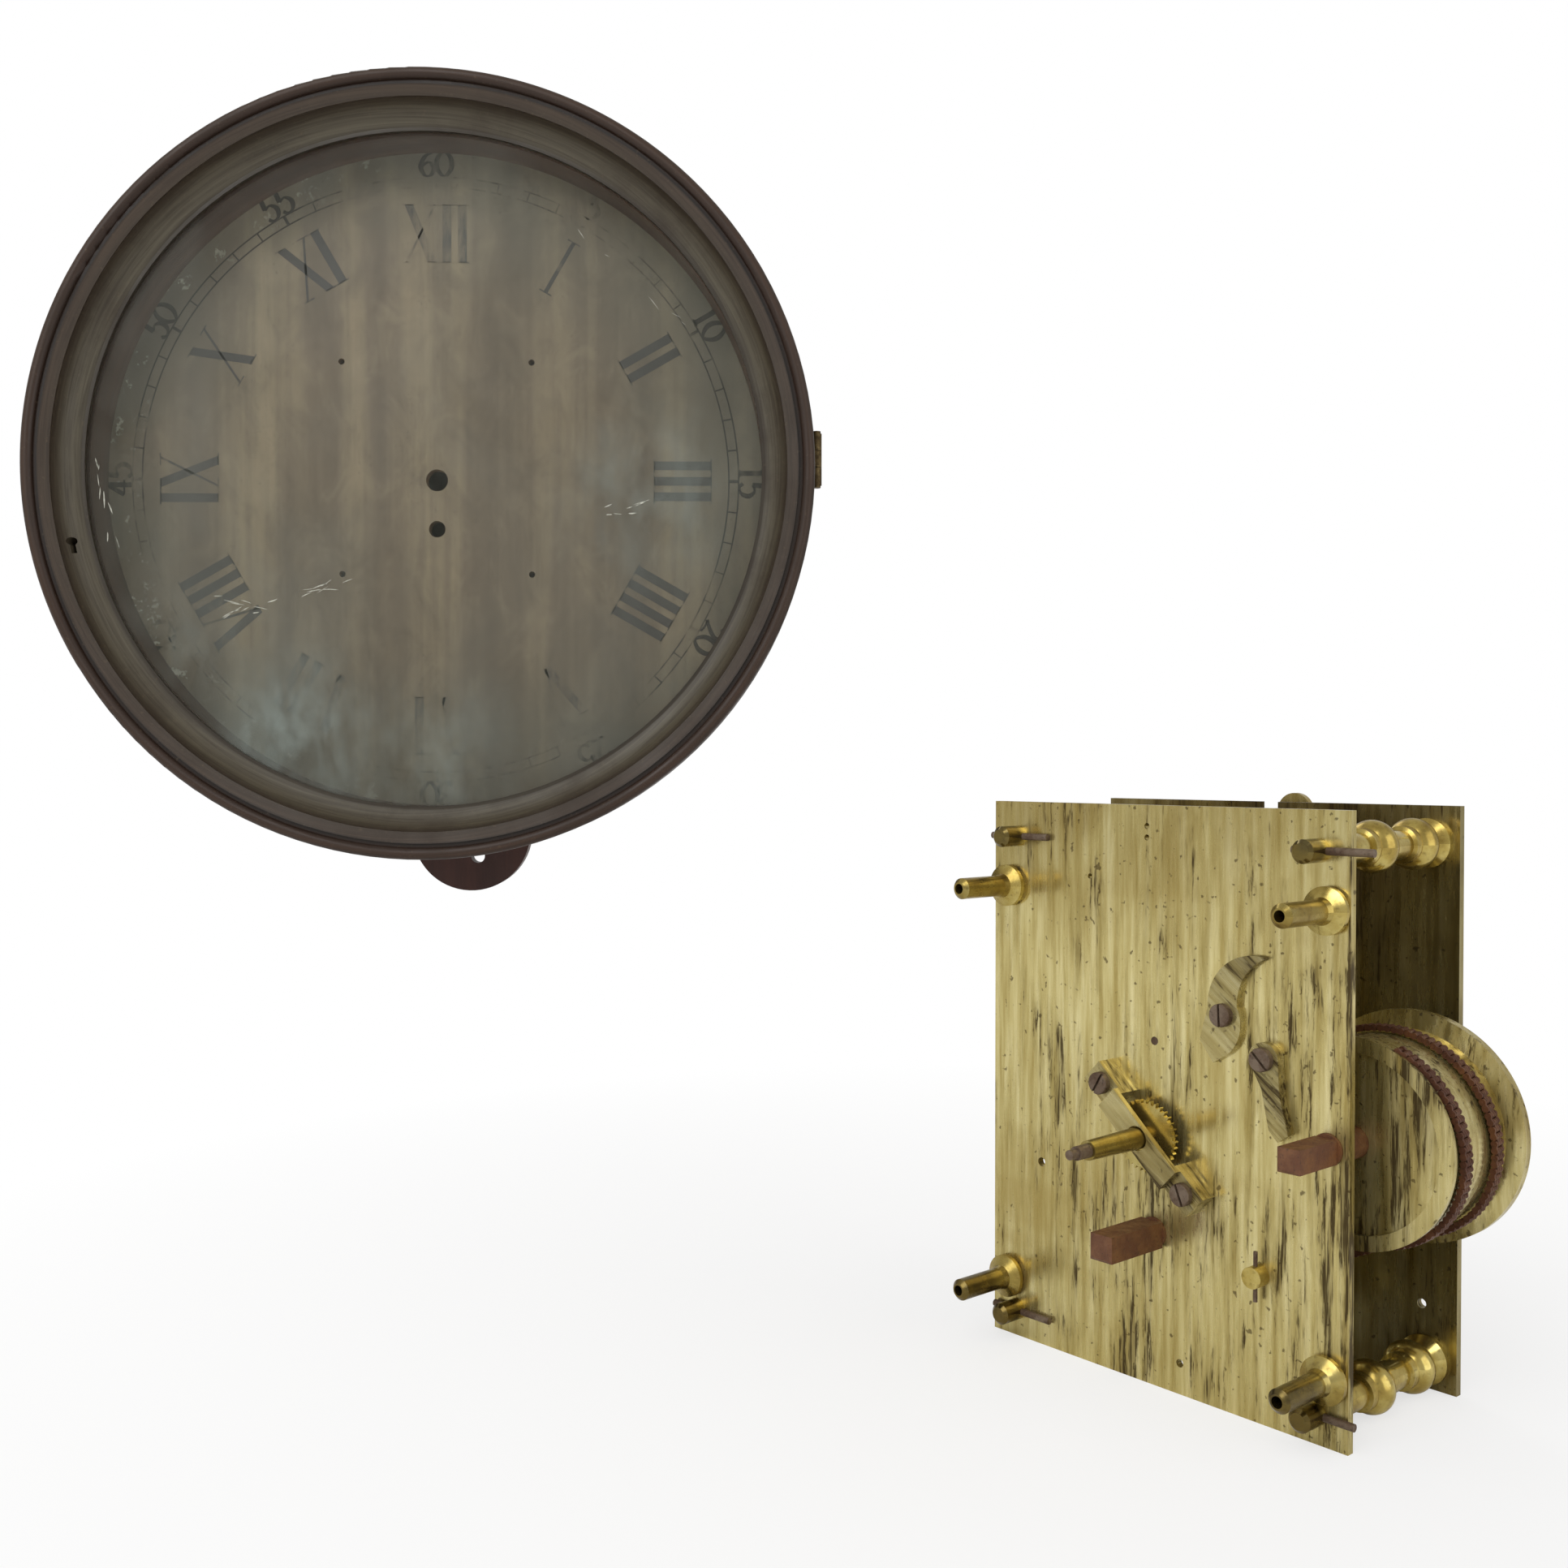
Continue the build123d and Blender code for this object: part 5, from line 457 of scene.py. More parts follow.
UPRIGHT_GRAIN, LEVEL_GRAIN = (1, 1, 0.08), (0.08, 1, 1)
BOX_TONES = (45, 32, 26), (72, 52, 42), (98, 72, 56)
box_wood = wood("box_wood", *BOX_TONES, UPRIGHT_GRAIN)
level_wood = wood("level_wood", *BOX_TONES, LEVEL_GRAIN)
board_wood = wood("board_wood", (40, 20, 16), (60, 33, 26), (82, 47, 36), (1, 1, 0.09), 50)
frame_wood = wood("frame_wood", (58, 42, 34), (84, 63, 51), (104, 80, 64), LEVEL_GRAIN)
hoop_wood = wood("hoop_wood", (54, 39, 32), (80, 60, 48), (102, 79, 63))
peg_wood = wood("peg_wood", (60, 42, 32), (88, 64, 48), (116, 86, 62), (0.1, 1, 1))
plate_brass = brass_plate("plate_brass")
# Copies of the plate brass darkened by painted shade: the back plate and the barrel between the plates;
# the small pieces in front are tarnished as well as shaded.
shaded_inner_brass = brass_plate("shaded_inner_brass", 0.4, 0.8)
shaded_barrel_brass = brass_plate("shaded_barrel_brass", 0.0, 0.2)
tarnished_and_shaded_brass = brass_plate("tarnished_and_shaded_brass", 0.2, 0.5, 0.9, 0.7)
foot_brass = brass_turned("foot_brass", 0.02, 0.95)
pillar_brass = brass_turned("pillar_brass", -0.05, 1.0, 0.003, 0.85)
dull_brass = brass_turned("dull_brass", 0.18)
hinge_brass = rusty("hinge_brass", (104, 88, 56), (52, 42, 28), (76, 62, 38), 0.75)
dark_iron = rusty("dark_iron", (84, 76, 68), (44, 36, 30), (92, 66, 52))
red_steel = rusty("red_steel", (112, 72, 42), (58, 39, 26), (94, 57, 33), 0.1)
screw_steel = rusty("screw_steel", (118, 102, 86), (54, 43, 34), (88, 68, 52), 0.5)
chain_steel = rusty("chain_steel", (100, 62, 38), (44, 27, 18), (80, 46, 28), 0.4)
numeral_ink = ink_finish("numeral_ink", (58, 59, 56), 0.60, 0.80)
track_ink = ink_finish("track_ink", (36, 34, 28), 0.52, 0.70)

DRESSED = (
    (box_wood, "box_left_side box_right_side side_door"),
    (level_wood, "box_top box_bottom"),
    (board_wood, "backboard"),
    (frame_wood, "box_battens"),
    (hoop_wood, "surround_hoop"),
    (peg_wood, "box_pegs"),
    (ring_wood(), "bezel_door"),
    (dial_finish(), "dial_board"),
    (glass_finish(), "dial_glass"),
    (putty_finish(), "glazing_bead"),
    (hinge_brass, "bezel_hinge_fixed_leaf bezel_hinge_door_leaf bezel_hinge_pin"),
    (hinge_brass, "side_hinge_fixed_leaves side_hinge_door_leaves side_hinge_pins side_door_knob"),
    (dark_iron, "lock_case lock_bolt lock_staple hanging_plate hanging_screws"),
    (plate_brass, "front_plate back_cock verge_potence lower_potence"),
    (shaded_inner_brass, "back_plate"),
    (shaded_barrel_brass, "barrel_drum barrel_cover"),
    (tarnished_and_shaded_brass, "setup_click click_spring motion_bridge"),
    (pillar_brass, "pillars"),
    (foot_brass, "dial_feet cannon_pipe"),
    (dull_brass, "centre_wheel contrate_wheel crown_wheel great_wheel fusee stop_post"),
    (red_steel, "fusee_arbor barrel_arbor"),
    (screw_steel, "centre_arbor contrate_arbor crown_arbor verge_staff stop_iron stop_pins"),
    (screw_steel, "pillar_pins front_plate_screws back_plate_screws"),
    (chain_steel, "barrel_chain chain_span"),
)
for finish, names in DRESSED:
    for name in names.split():
        slots = nodes[name].material_slots
        if not slots:
            nodes[name].data.materials.append(finish.material)
        for holder in slots:
            holder.material = finish.material


# Pieces
def shown(name, mesh):
    """A new object in the scene."""
    piece = bpy.data.objects.new(name, mesh)
    bpy.context.scene.collection.objects.link(piece)
    return piece


def finished(name, mesh, body, finish=None):
    """A new piece riding on its body, in a finish unless its mesh has one."""
    piece = shown(name, mesh)
    if finish is not None:
        mesh.materials.clear()
        mesh.materials.append(finish.material)
    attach(piece, body)
    return piece


def face_forward(shell):
    """Turns flat faces towards the front."""
    for face in shell.faces:
        face.normal_update()
        if face.normal.y > 0:
            face.normal_flip()


def made(shell, name, closed=True):
    """Mesh from a shell; where it is closed, its faces turn outwards."""
    if closed:
        bmesh.ops.recalc_face_normals(shell, faces=shell.faces)
    mesh = bpy.data.meshes.new(name)
    shell.to_mesh(mesh)
    shell.free()
    return mesh


def heading_at(path, k):
    """Direction of a path of (across, up) points at one of them."""
    before, after = path[max(k - 1, 0)], path[min(k + 1, len(path) - 1)]
    return Vector((after[0] - before[0], after[1] - before[1])).normalized()


# Numerals and minute track
class Print:
    """Flat printed shapes on the dial, each with how much of it is left."""

    def __init__(self):
        self.points, self.faces, self.strength = [], [], []

    def shape(self, corners, strength):
        first = len(self.points)
        self.points += corners
        self.strength += [strength] * len(corners)
        self.faces.append(list(range(first, first + len(corners))))

    def turned(self, corners, angle, strength):
        """Corners are (across, outwards) from the dial's centre, turned clockwise by angle."""
        cosine, sine = math.cos(angle), math.sin(angle)
        self.shape([(u * cosine + v * sine, v * cosine - u * sine) for u, v in corners], strength)

    def ribbon(self, path, width, hair, angle, strength):
        """Pen stroke along (across, outwards) points: full width upwards, a hair's across."""
        sides = []
        for k, (u, v) in enumerate(path):
            run = heading_at(path, k)
            half = (hair + (width - hair) * run.y ** 2) / 2
            sides.append(((u - run.y * half, v + run.x * half), (u + run.y * half, v - run.x * half)))
        for (a, b), (c, d) in zip(sides, sides[1:]):
            self.turned([a, c, d, b], angle, strength)

    def mesh(self, name):
        flat = bpy.data.meshes.new(name)
        level = -(DIAL_FACE + PRINT_LIFT) * MM
        flat.from_pydata([(x * MM, level, z * MM) for x, z in self.points], [], self.faces)
        flat.attributes.new("strength", "FLOAT", "POINT").data.foreach_set("value", self.strength)
        shell = bmesh.new()
        shell.from_mesh(flat)
        bmesh.ops.triangulate(shell, faces=shell.faces)
        face_forward(shell)
        shell.to_mesh(flat)
        shell.free()
        return flat


# Each hour's letters and how much of them is left
NUMERALS = {
    1: ("I", 0.8), 2: ("II", 0.9), 3: ("III", 1.0), 4: ("IIII", 1.0), 5: ("V", 0.42), 6: ("VI", 0.36),
    7: ("VII", 0.45), 8: ("VIII", 0.85), 9: ("IX", 1.0), 10: ("X", 0.95), 11: ("XI", 0.9),
    12: ("XII", 0.5),
}
STROKE, HAIR, SPACE, SPREAD = 5.2, 1.5, 9.2, 9.4
ONE_STROKE = 2.4        # only one side of the first numeral's stroke is left
WIDE_LETTER = 2 * SPREAD + 3
LETTER_WIDTH = {"I": SPACE, "V": WIDE_LETTER, "X": WIDE_LETTER}
SERIF, STROKE_SERIF, HAIR_SERIF, X_SERIF = 0.8, STROKE + 3, 5.0, 7.0
# What is left of hairs and serifs, as shares of what is left of the full strokes
HAIR_LEFT, SERIF_LEFT = 0.7, 0.6


def numeral(sheet, letters, angle, strength):
    """Roman numeral with its feet towards the centre."""
    low, high = NUMERAL_INNER, NUMERAL_OUTER

    def stroke(foot, head, width, share=1.0):
        half = width / 2
        corners = [(foot - half, low), (head - half, high), (head + half, high), (foot + half, low)]
        sheet.turned(corners, angle, strength * share)

    def serif(at, width, level):
        under, over = level - SERIF / 2, level + SERIF / 2
        left, right = at - width / 2, at + width / 2
        corners = [(left, under), (left, over), (right, over), (right, under)]
        sheet.turned(corners, angle, strength * SERIF_LEFT)

    place = -sum(LETTER_WIDTH[letter] for letter in letters) / 2
    for letter in letters:
        at = place + LETTER_WIDTH[letter] / 2
        place += LETTER_WIDTH[letter]
        left, right = at - SPREAD + STROKE / 2, at + SPREAD - 1
        if letter == "I":
            stroke(at, at, ONE_STROKE if letters == "I" else STROKE)
            serif(at, STROKE_SERIF, high)
            serif(at, STROKE_SERIF, low)
        elif letter == "V":
            stroke(at, left, STROKE)
            stroke(at + 0.6, right, HAIR, HAIR_LEFT)
            serif(left, STROKE_SERIF, high)
            serif(right, HAIR_SERIF, high)
        else:
            stroke(2 * at - left, left, STROKE)
            stroke(2 * at - right, right, HAIR, HAIR_LEFT)
            for side in (-1, 1):
                for level in (high, low):
                    serif(at + side * (SPREAD - 2), X_SERIF, level)


# How much is left of each minute number
MINUTES = {
    5: 0.15, 10: 0.65, 15: 0.55, 20: 0.75, 25: 0.3, 30: 0.15,
    35: 0.1, 40: 0.1, 45: 0.4, 50: 1.35, 55: 1.0, 60: 0.5,
}
FIGURE_HEIGHT, FIGURE_SPACE, FIGURE_STROKE, FIGURE_HAIR = 14.5, 9.8, 3.0, 1.2
# Strokes of each figure through a few points, as shares of its height
FIGURES = {
    "0": [[(0, 0.5), (0.28, 0.2), (0.28, -0.2), (0, -0.5), (-0.28, -0.2), (-0.28, 0.2), (0, 0.5)]],
    "1": [[(-0.14, 0.38), (0, 0.5)], [(0, 0.5), (0, -0.5)], [(-0.16, -0.5), (0.16, -0.5)]],
    "2": [[(-0.24, 0.24), (-0.12, 0.47), (0.12, 0.47), (0.24, 0.2), (0.02, -0.18), (-0.27, -0.48)],
          [(-0.27, -0.46), (0.0, -0.42), (0.27, -0.48)]],
    "3": [[(-0.22, 0.36), (0.02, 0.5), (0.22, 0.28), (0.0, 0.04)],
          [(0.0, 0.04), (0.26, -0.14), (0.2, -0.42), (-0.04, -0.5), (-0.24, -0.36)]],
    "4": [[(0.1, 0.5), (-0.3, -0.2)], [(-0.3, -0.2), (0.3, -0.2)], [(0.1, 0.5), (0.1, -0.5)]],
    "5": [[(-0.16, 0.48), (0.22, 0.48)], [(-0.16, 0.48), (-0.2, 0.04)],
          [(-0.2, 0.04), (0.06, 0.12), (0.26, -0.12), (0.16, -0.42), (-0.1, -0.5), (-0.26, -0.36)]],
    "6": [[(0.2, 0.46), (-0.1, 0.3), (-0.28, -0.1), (-0.14, -0.45), (0.1, -0.48), (0.26, -0.2),
           (0.06, 0.06), (-0.22, -0.08)]],
}
CURVE_STEPS = 6


def between(a, b, c, d, share):
    """Value between b and c on the smooth curve through four values."""
    bend = 2 * a - 5 * b + 4 * c - d + share * (3 * (b - c) + d - a)
    return b + share / 2 * (c - a + share * bend)


def smooth(points):
    """Curve through points; two points stay a straight line."""
    steps = CURVE_STEPS
    if len(points) == 2:
        return [tuple(a + (b - a) * k / steps for a, b in zip(*points)) for k in range(steps + 1)]
    if points[0] == points[-1]:
        beyond = [points[-2], *points, points[1]]
    else:
        beyond = [points[0], *points, points[-1]]
    path = []
    for four in zip(beyond, beyond[1:], beyond[2:], beyond[3:]):
        path += [tuple(between(*values, k / steps) for values in zip(*four)) for k in range(steps)]
    return path + [points[-1]]


def minute_number(sheet, minute, strength):
    """Minute number, with its feet towards the centre."""
    figures = str(minute)
    for place, figure in enumerate(figures):
        across = (place - (len(figures) - 1) / 2) * FIGURE_SPACE
        for points in FIGURES[figure]:
            path = smooth(points)
            path = [(across + u * FIGURE_HEIGHT, MINUTE_RADIUS + v * FIGURE_HEIGHT) for u, v in path]
            sheet.ribbon(path, FIGURE_STROKE, FIGURE_HAIR, minute * math.tau / 60, strength)


BEST_LEFT, BEST_RIGHT = math.radians(-52), math.radians(88)
LINE, TICK, LONG_TICK = 0.9, 0.9, 1.8
TRACK_ARCS = 240


def track_strength(angle):
    """The minute track is best kept at the upper left and along the right."""
    left = max(0.0, math.cos(angle - BEST_LEFT)) ** 8
    right = max(0.0, math.cos(angle - BEST_RIGHT)) ** 4
    return min(1.0, 0.05 + 0.95 * left + 0.5 * right)


def track_circle(sheet, radius):
    """Thin circle of the track, in short arcs."""
    inner, outer = radius - LINE / 2, radius + LINE / 2
    for k in range(TRACK_ARCS):
        a, b = k * math.tau / TRACK_ARCS, (k + 1) * math.tau / TRACK_ARCS
        corners = [(inner, a), (outer, a), (outer, b), (inner, b)]
        sheet.shape([(r * math.sin(t), r * math.cos(t)) for r, t in corners], track_strength(a))


numerals = Print()
for hour, (letters, strength) in NUMERALS.items():
    numeral(numerals, letters, hour * math.tau / 12, strength)
finished("numerals", numerals.mesh("numerals"), "case", numeral_ink)

track = Print()
for minute, strength in MINUTES.items():
    minute_number(track, minute, strength)
for radius in (TRACK_INNER, TRACK_OUTER):
    track_circle(track, radius)
for minute in range(60):
    angle = minute * math.tau / 60
    half = (TICK if minute % 5 else LONG_TICK) / 2
    corners = [(-half, TRACK_INNER), (-half, TRACK_OUTER), (half, TRACK_OUTER), (half, TRACK_INNER)]
    track.turned(corners, angle, track_strength(angle))
finished("minute_track", track.mesh("minute_track"), "case", track_ink)


# Solids that a tree copies, in millimetres
def cylinder(shell, radius, low, high, segments, across=0.0):
    """Adds a closed cylinder that stands along z."""
    bmesh.ops.create_cone(
        shell, cap_ends=True, segments=segments, radius1=radius * MM, radius2=radius * MM,
        depth=(high - low) * MM, matrix=Matrix.Translation((across * MM, 0, (low + high) / 2 * MM)),
    )


def layered(shell, layers):
    """Adds a closed solid through (outline, level) layers, from its foot up."""
    rings = [
        [shell.verts.new((x * MM, y * MM, level * MM)) for x, y in outline] for outline, level in layers
    ]
    shell.faces.new(rings[-1])
    shell.faces.new(rings[0][::-1])
    for low, high in zip(rings, rings[1:]):
        for k in range(len(low)):
            after = (k + 1) % len(low)
            shell.faces.new((low[k], low[after], high[after], high[k]))


# Trees that copy links and screws
def carry(mesh, name, kind, values):
    """Values that the points of a mesh carry into a tree."""
    field = mesh.attributes.new(name, kind, "POINT").data
    if kind == "FLOAT_VECTOR":
        field.foreach_set("vector", [number for value in values for number in value])
    else:
        field.foreach_set("value", values)


class Copies:
    """A Geometry Nodes tree that sets copies of other objects on points."""

    def __init__(self, name, *sockets):
        self.tree = bpy.data.node_groups.new(name, "GeometryNodeTree")
        self.tree.interface.new_socket("Geometry", in_out="OUTPUT", socket_type="NodeSocketGeometry")
        for label, kind in sockets:
            self.tree.interface.new_socket(label, in_out="INPUT", socket_type="NodeSocket" + kind)
        self.given = self.new("NodeGroupInput").outputs
        self.both = self.new("GeometryNodeJoinGeometry")

    def new(self, kind, **settings):
        node = self.tree.nodes.new(kind)
        for key, value in settings.items():
            setattr(node, key, value)
        return node

    def join(self, source, target):
        self.tree.links.new(source, target)

    def maths(self, operation, value, constant):
        node = self.new("ShaderNodeMath", operation=operation)
        node.inputs[1].default_value = constant
        self.join(value, node.inputs[0])
        return node.outputs[0]

    def carried(self, name, kind):
        """What the points carry under a name."""
        node = self.new("GeometryNodeInputNamedAttribute", data_type=kind)
        node.inputs[0].default_value = name
        return node.outputs[0]

    def set_on(self, points, label, **places):
        """Copies the object that is given under a label to the points."""
        info, copies = self.new("GeometryNodeObjectInfo"), self.new("GeometryNodeInstanceOnPoints")
        self.join(self.given[label], info.inputs["Object"])
        self.join(points, copies.inputs["Points"])
        self.join(info.outputs["Geometry"], copies.inputs["Instance"])
        for socket, value in places.items():
            self.join(value, copies.inputs[socket])
        self.join(copies.outputs[0], self.both.inputs[0])

    def done(self):
        """Ends the tree with real copies in their finish."""
        real, coat = self.new("GeometryNodeRealizeInstances"), self.new("GeometryNodeSetMaterial")
        self.join(self.both.outputs[0], real.inputs[0])
        self.join(real.outputs[0], coat.inputs["Geometry"])
        self.join(self.given["Finish"], coat.inputs["Material"])
        self.join(coat.outputs[0], self.new("NodeGroupOutput").inputs[0])
        return self.tree


def grown(name, mesh, tree, values, body):
    """Runs a tree on a mesh and keeps the result as a plain piece."""
    holder = shown(name + "_line", mesh)
    modifier = holder.modifiers.new("copies", "NODES")
    modifier.node_group = tree
    for item in tree.interface.items_tree:
        if item.item_type == "SOCKET" and item.in_out == "INPUT" and item.name in values:
            modifier[item.identifier] = values[item.name]
    bpy.context.view_layer.update()
    seen = holder.evaluated_get(bpy.context.evaluated_depsgraph_get())
    result = bpy.data.meshes.new_from_object(seen)
    bpy.data.objects.remove(holder)
    result.name = name
    return finished(name, result, body)


# Chain
BARREL_AT = local(joints["barrel_spin"]["pos_m"])
FUSEE_AT = local(joints["fusee_spin"]["pos_m"])
# The wound chain's distance from the barrel's arbor, its first and last depth, and its first angle
CHAIN_ORBIT, CHAIN_START, CHAIN_END = 29.35, 14.5, 38.0
CHAIN_FIRST_ANGLE = 63.0
WINDING_STEPS = 240
# Direction from the barrel's arbor, and the fusee's, to the ends of the free run
TANGENT = (0.42380, -0.90575)
FREE_ORBITS = (29.65, 21.766)
FREE_DEPTHS = (40.9, 35.0)
LINK_PITCH, LINK_HALF_HEIGHT, LINK_WAIST = 1.9, 0.95, 0.62
LINK_END_STEPS = 6
RIVET_RADIUS, RIVET_END = 0.5, 0.15
# Levels of a link's plates along the rivet, and their thickness
OUTER_PLATES, OUTER_THICKNESS = (-1.55, 1.55), 0.8
INNER_PLATES, INNER_THICKNESS = (-0.52, 0.52), 0.9


def link_mesh(name, plates, thickness):
    """One chain link along x: waisted plates side by side, and the rivet along z that joins them."""
    outline = []
    for side in (1, -1):
        for k in range(LINK_END_STEPS + 1):
            angle = k * math.pi / LINK_END_STEPS - side * math.pi / 2
            x, y = LINK_HALF_HEIGHT * math.cos(angle), LINK_HALF_HEIGHT * math.sin(angle)
            outline.append((x + side * LINK_PITCH / 2, y))
        outline.append((0, side * LINK_HALF_HEIGHT * LINK_WAIST))
    shell = bmesh.new()
    for level in plates:
        layered(shell, [(outline, level - thickness / 2), (outline, level + thickness / 2)])
    reach = max(plates) + thickness / 2 + RIVET_END
    cylinder(shell, RIVET_RADIUS, -reach, reach, 8, -LINK_PITCH / 2)
    return made(shell, name)


def chain_tree():
    """Links laid along a line, outer and inner in turn, rivets parallel to the arbors."""
    copies = Copies(
        "chain_links",
        ("Line", "Geometry"), ("Pitch", "Float"), ("Outer", "Object"), ("Inner", "Object"),
        ("Rivet direction", "Vector"), ("Finish", "Material"),
    )
    new, join, given = copies.new, copies.join, copies.given
    line, points = new("GeometryNodeMeshToCurve"), new("GeometryNodeCurveToPoints", mode="LENGTH")
    join(given["Line"], line.inputs[0])
    join(line.outputs[0], points.inputs["Curve"])
    join(given["Pitch"], points.inputs["Length"])
    along = new("FunctionNodeAlignEulerToVector", axis="X")
    level = new("FunctionNodeAlignEulerToVector", axis="Z", pivot_axis="X")
    join(points.outputs["Tangent"], along.inputs["Vector"])
    join(along.outputs[0], level.inputs["Rotation"])
    join(given["Rivet direction"], level.inputs["Vector"])
    every_other = copies.maths("MODULO", new("GeometryNodeInputIndex").outputs[0], 2.0)
    for label, operation in (("Outer", "LESS_THAN"), ("Inner", "GREATER_THAN")):
        chosen = copies.maths(operation, every_other, 0.5)
        copies.set_on(points.outputs["Points"], label, Selection=chosen, Rotation=level.outputs[0])
    return copies.done()


def line_mesh(name, points):
    mesh = bpy.data.meshes.new(name)
    mesh.from_pydata(points, [(k, k + 1) for k in range(len(points) - 1)], [])
    return mesh


def winding():
    """Line of the wound chain, from the front of the drum to where the free run leaves it."""
    last_angle = math.degrees(math.atan2(TANGENT[1], TANGENT[0])) - 360
    points = []
    for k in range(WINDING_STEPS + 1):
        share = k / WINDING_STEPS
        angle = math.radians(CHAIN_FIRST_ANGLE + (last_angle - CHAIN_FIRST_ANGLE) * share)
        x = BARREL_AT[0] + CHAIN_ORBIT * math.cos(angle)
        z = BARREL_AT[1] + CHAIN_ORBIT * math.sin(angle)
        points.append(spot(x, z, CHAIN_START + (CHAIN_END - CHAIN_START) * share))
    return line_mesh("winding", points)


def free_run():
    """Straight line of the chain from the barrel to the fusee."""
    ends = [
        spot(at[0] + orbit * TANGENT[0], at[1] + orbit * TANGENT[1], depth)
        for at, orbit, depth in zip((BARREL_AT, FUSEE_AT), FREE_ORBITS, FREE_DEPTHS)
    ]
    return line_mesh("free_run", ends)


outer_link = shown("outer_link", link_mesh("outer_link", OUTER_PLATES, OUTER_THICKNESS))
inner_link = shown("inner_link", link_mesh("inner_link", INNER_PLATES, INNER_THICKNESS))
links = chain_tree()
chain_values = {
    "Pitch": LINK_PITCH * MM, "Outer": outer_link, "Inner": inner_link,
    "Rivet direction": FRONT, "Finish": chain_steel.material,
}
wound = grown("wound_chain", winding(), links, chain_values, "barrel")
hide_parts("barrel_chain")
free = grown("free_chain", free_run(), links, chain_values, "movement")
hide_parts("chain_span")
for helper in (outer_link, inner_link):
    bpy.data.objects.remove(helper)


# Slotted screws
SLOT_WIDTH = 0.8
# Heights of the slot's floor and of the chamfer's foot, and radius of the top, as shares of the head's
SLOT_FLOOR, HEAD_CHAMFER_FROM, HEAD_TOP_SHARE = 0.55, 0.86, 0.93
HALF_ROUND_STEPS = 12


def screw_head(radius, height):
    """Cheese head with its slot: a disc and the two half rounds that leave the slot open."""
    shell = bmesh.new()
    floor = height * SLOT_FLOOR
    cylinder(shell, radius, 0, floor, 32)
    lean = math.asin(SLOT_WIDTH / 2 / radius)
    step = (math.pi - 2 * lean) / HALF_ROUND_STEPS
    for half in (0, math.pi):
        arc = [half + lean + step * k for k in range(HALF_ROUND_STEPS + 1)]
        round_side = [(radius * math.cos(a), radius * math.sin(a)) for a in arc]
        top = [(x * HEAD_TOP_SHARE, y * HEAD_TOP_SHARE) for x, y in round_side]
        layered(shell, [(round_side, floor), (round_side, height * HEAD_CHAMFER_FROM), (top, height)])
    return made(shell, "screw_head")


def screw_shank(radius):
    """Shank one millimetre long below its head."""
    shell = bmesh.new()
    cylinder(shell, radius, -1, 0, 16)
    return made(shell, "screw_shank")


def screw_tree():
    """Heads and shanks on points that carry outwards, turn and shank."""
    copies = Copies(
        "slotted_screws",
        ("Places", "Geometry"), ("Head", "Object"), ("Shank", "Object"), ("Finish", "Material"),
    )
    upright = copies.new("FunctionNodeAlignEulerToVector", axis="Z")
    copies.join(copies.carried("outwards", "FLOAT_VECTOR"), upright.inputs["Vector"])
    turned = copies.new("FunctionNodeRotateEuler", rotation_type="AXIS_ANGLE", space="LOCAL")
    copies.join(upright.outputs[0], turned.inputs["Rotation"])
    copies.join(copies.carried("turn", "FLOAT"), turned.inputs["Angle"])
    stretch = copies.new("ShaderNodeCombineXYZ")
    stretch.inputs[0].default_value = stretch.inputs[1].default_value = 1.0
    copies.join(copies.carried("shank", "FLOAT"), stretch.inputs[2])
    places, rotation = copies.given["Places"], turned.outputs[0]
    copies.set_on(places, "Head", Rotation=rotation)
    copies.set_on(places, "Shank", Rotation=rotation, Scale=stretch.outputs[0])
    return copies.done()


slotted_screws = screw_tree()


def screws(name, places, radius, height, shank_radius, body):
    """Screws on (place, outwards, shank length) rows."""
    rng = random.Random(name)
    mesh = bpy.data.meshes.new(name)
    mesh.from_pydata([place for place, _, _ in places], [], [])
    carry(mesh, "outwards", "FLOAT_VECTOR", [outwards for _, outwards, _ in places])
    carry(mesh, "turn", "FLOAT", [rng.uniform(0, math.pi) for _ in places])
    carry(mesh, "shank", "FLOAT", [length for _, _, length in places])
    head, shank = shown("head", screw_head(radius, height)), shown("shank", screw_shank(shank_radius))
    values = {"Head": head, "Shank": shank, "Finish": screw_steel.material}
    piece = grown(name, mesh, slotted_screws, values, body)
    for helper in (head, shank):
        bpy.data.objects.remove(helper)
    return piece


SCREW_RADIUS, SCREW_HEIGHT, SCREW_SHANK, PLATE = 3.3, 2.2, 1.3, 2.5
BRIDGE_TURN, BRIDGE_SCREW_OUT, BRIDGE_SEAT = math.radians(-43.2), 20.0, 6.3
CLICK_SCREW, CLICK_SEAT = (38.4, 28.0), 3.32
SPRING_SCREW, SPRING_SEAT = (24.7, 38.4), 2.0
bridge_x, bridge_z = BRIDGE_SCREW_OUT * math.cos(BRIDGE_TURN), BRIDGE_SCREW_OUT * math.sin(BRIDGE_TURN)
seats = [(side * bridge_x, side * bridge_z, BRIDGE_SEAT) for side in (-1, 1)]
seats += [(*CLICK_SCREW, CLICK_SEAT), (*SPRING_SCREW, SPRING_SEAT)]
front_places = [(spot(x, z, -seat), FRONT, seat + PLATE) for x, z, seat in seats]
front_screws = screws(
    "front_screws", front_places, SCREW_RADIUS, SCREW_HEIGHT, SCREW_SHANK, "movement"
)
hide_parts("front_plate_screws")

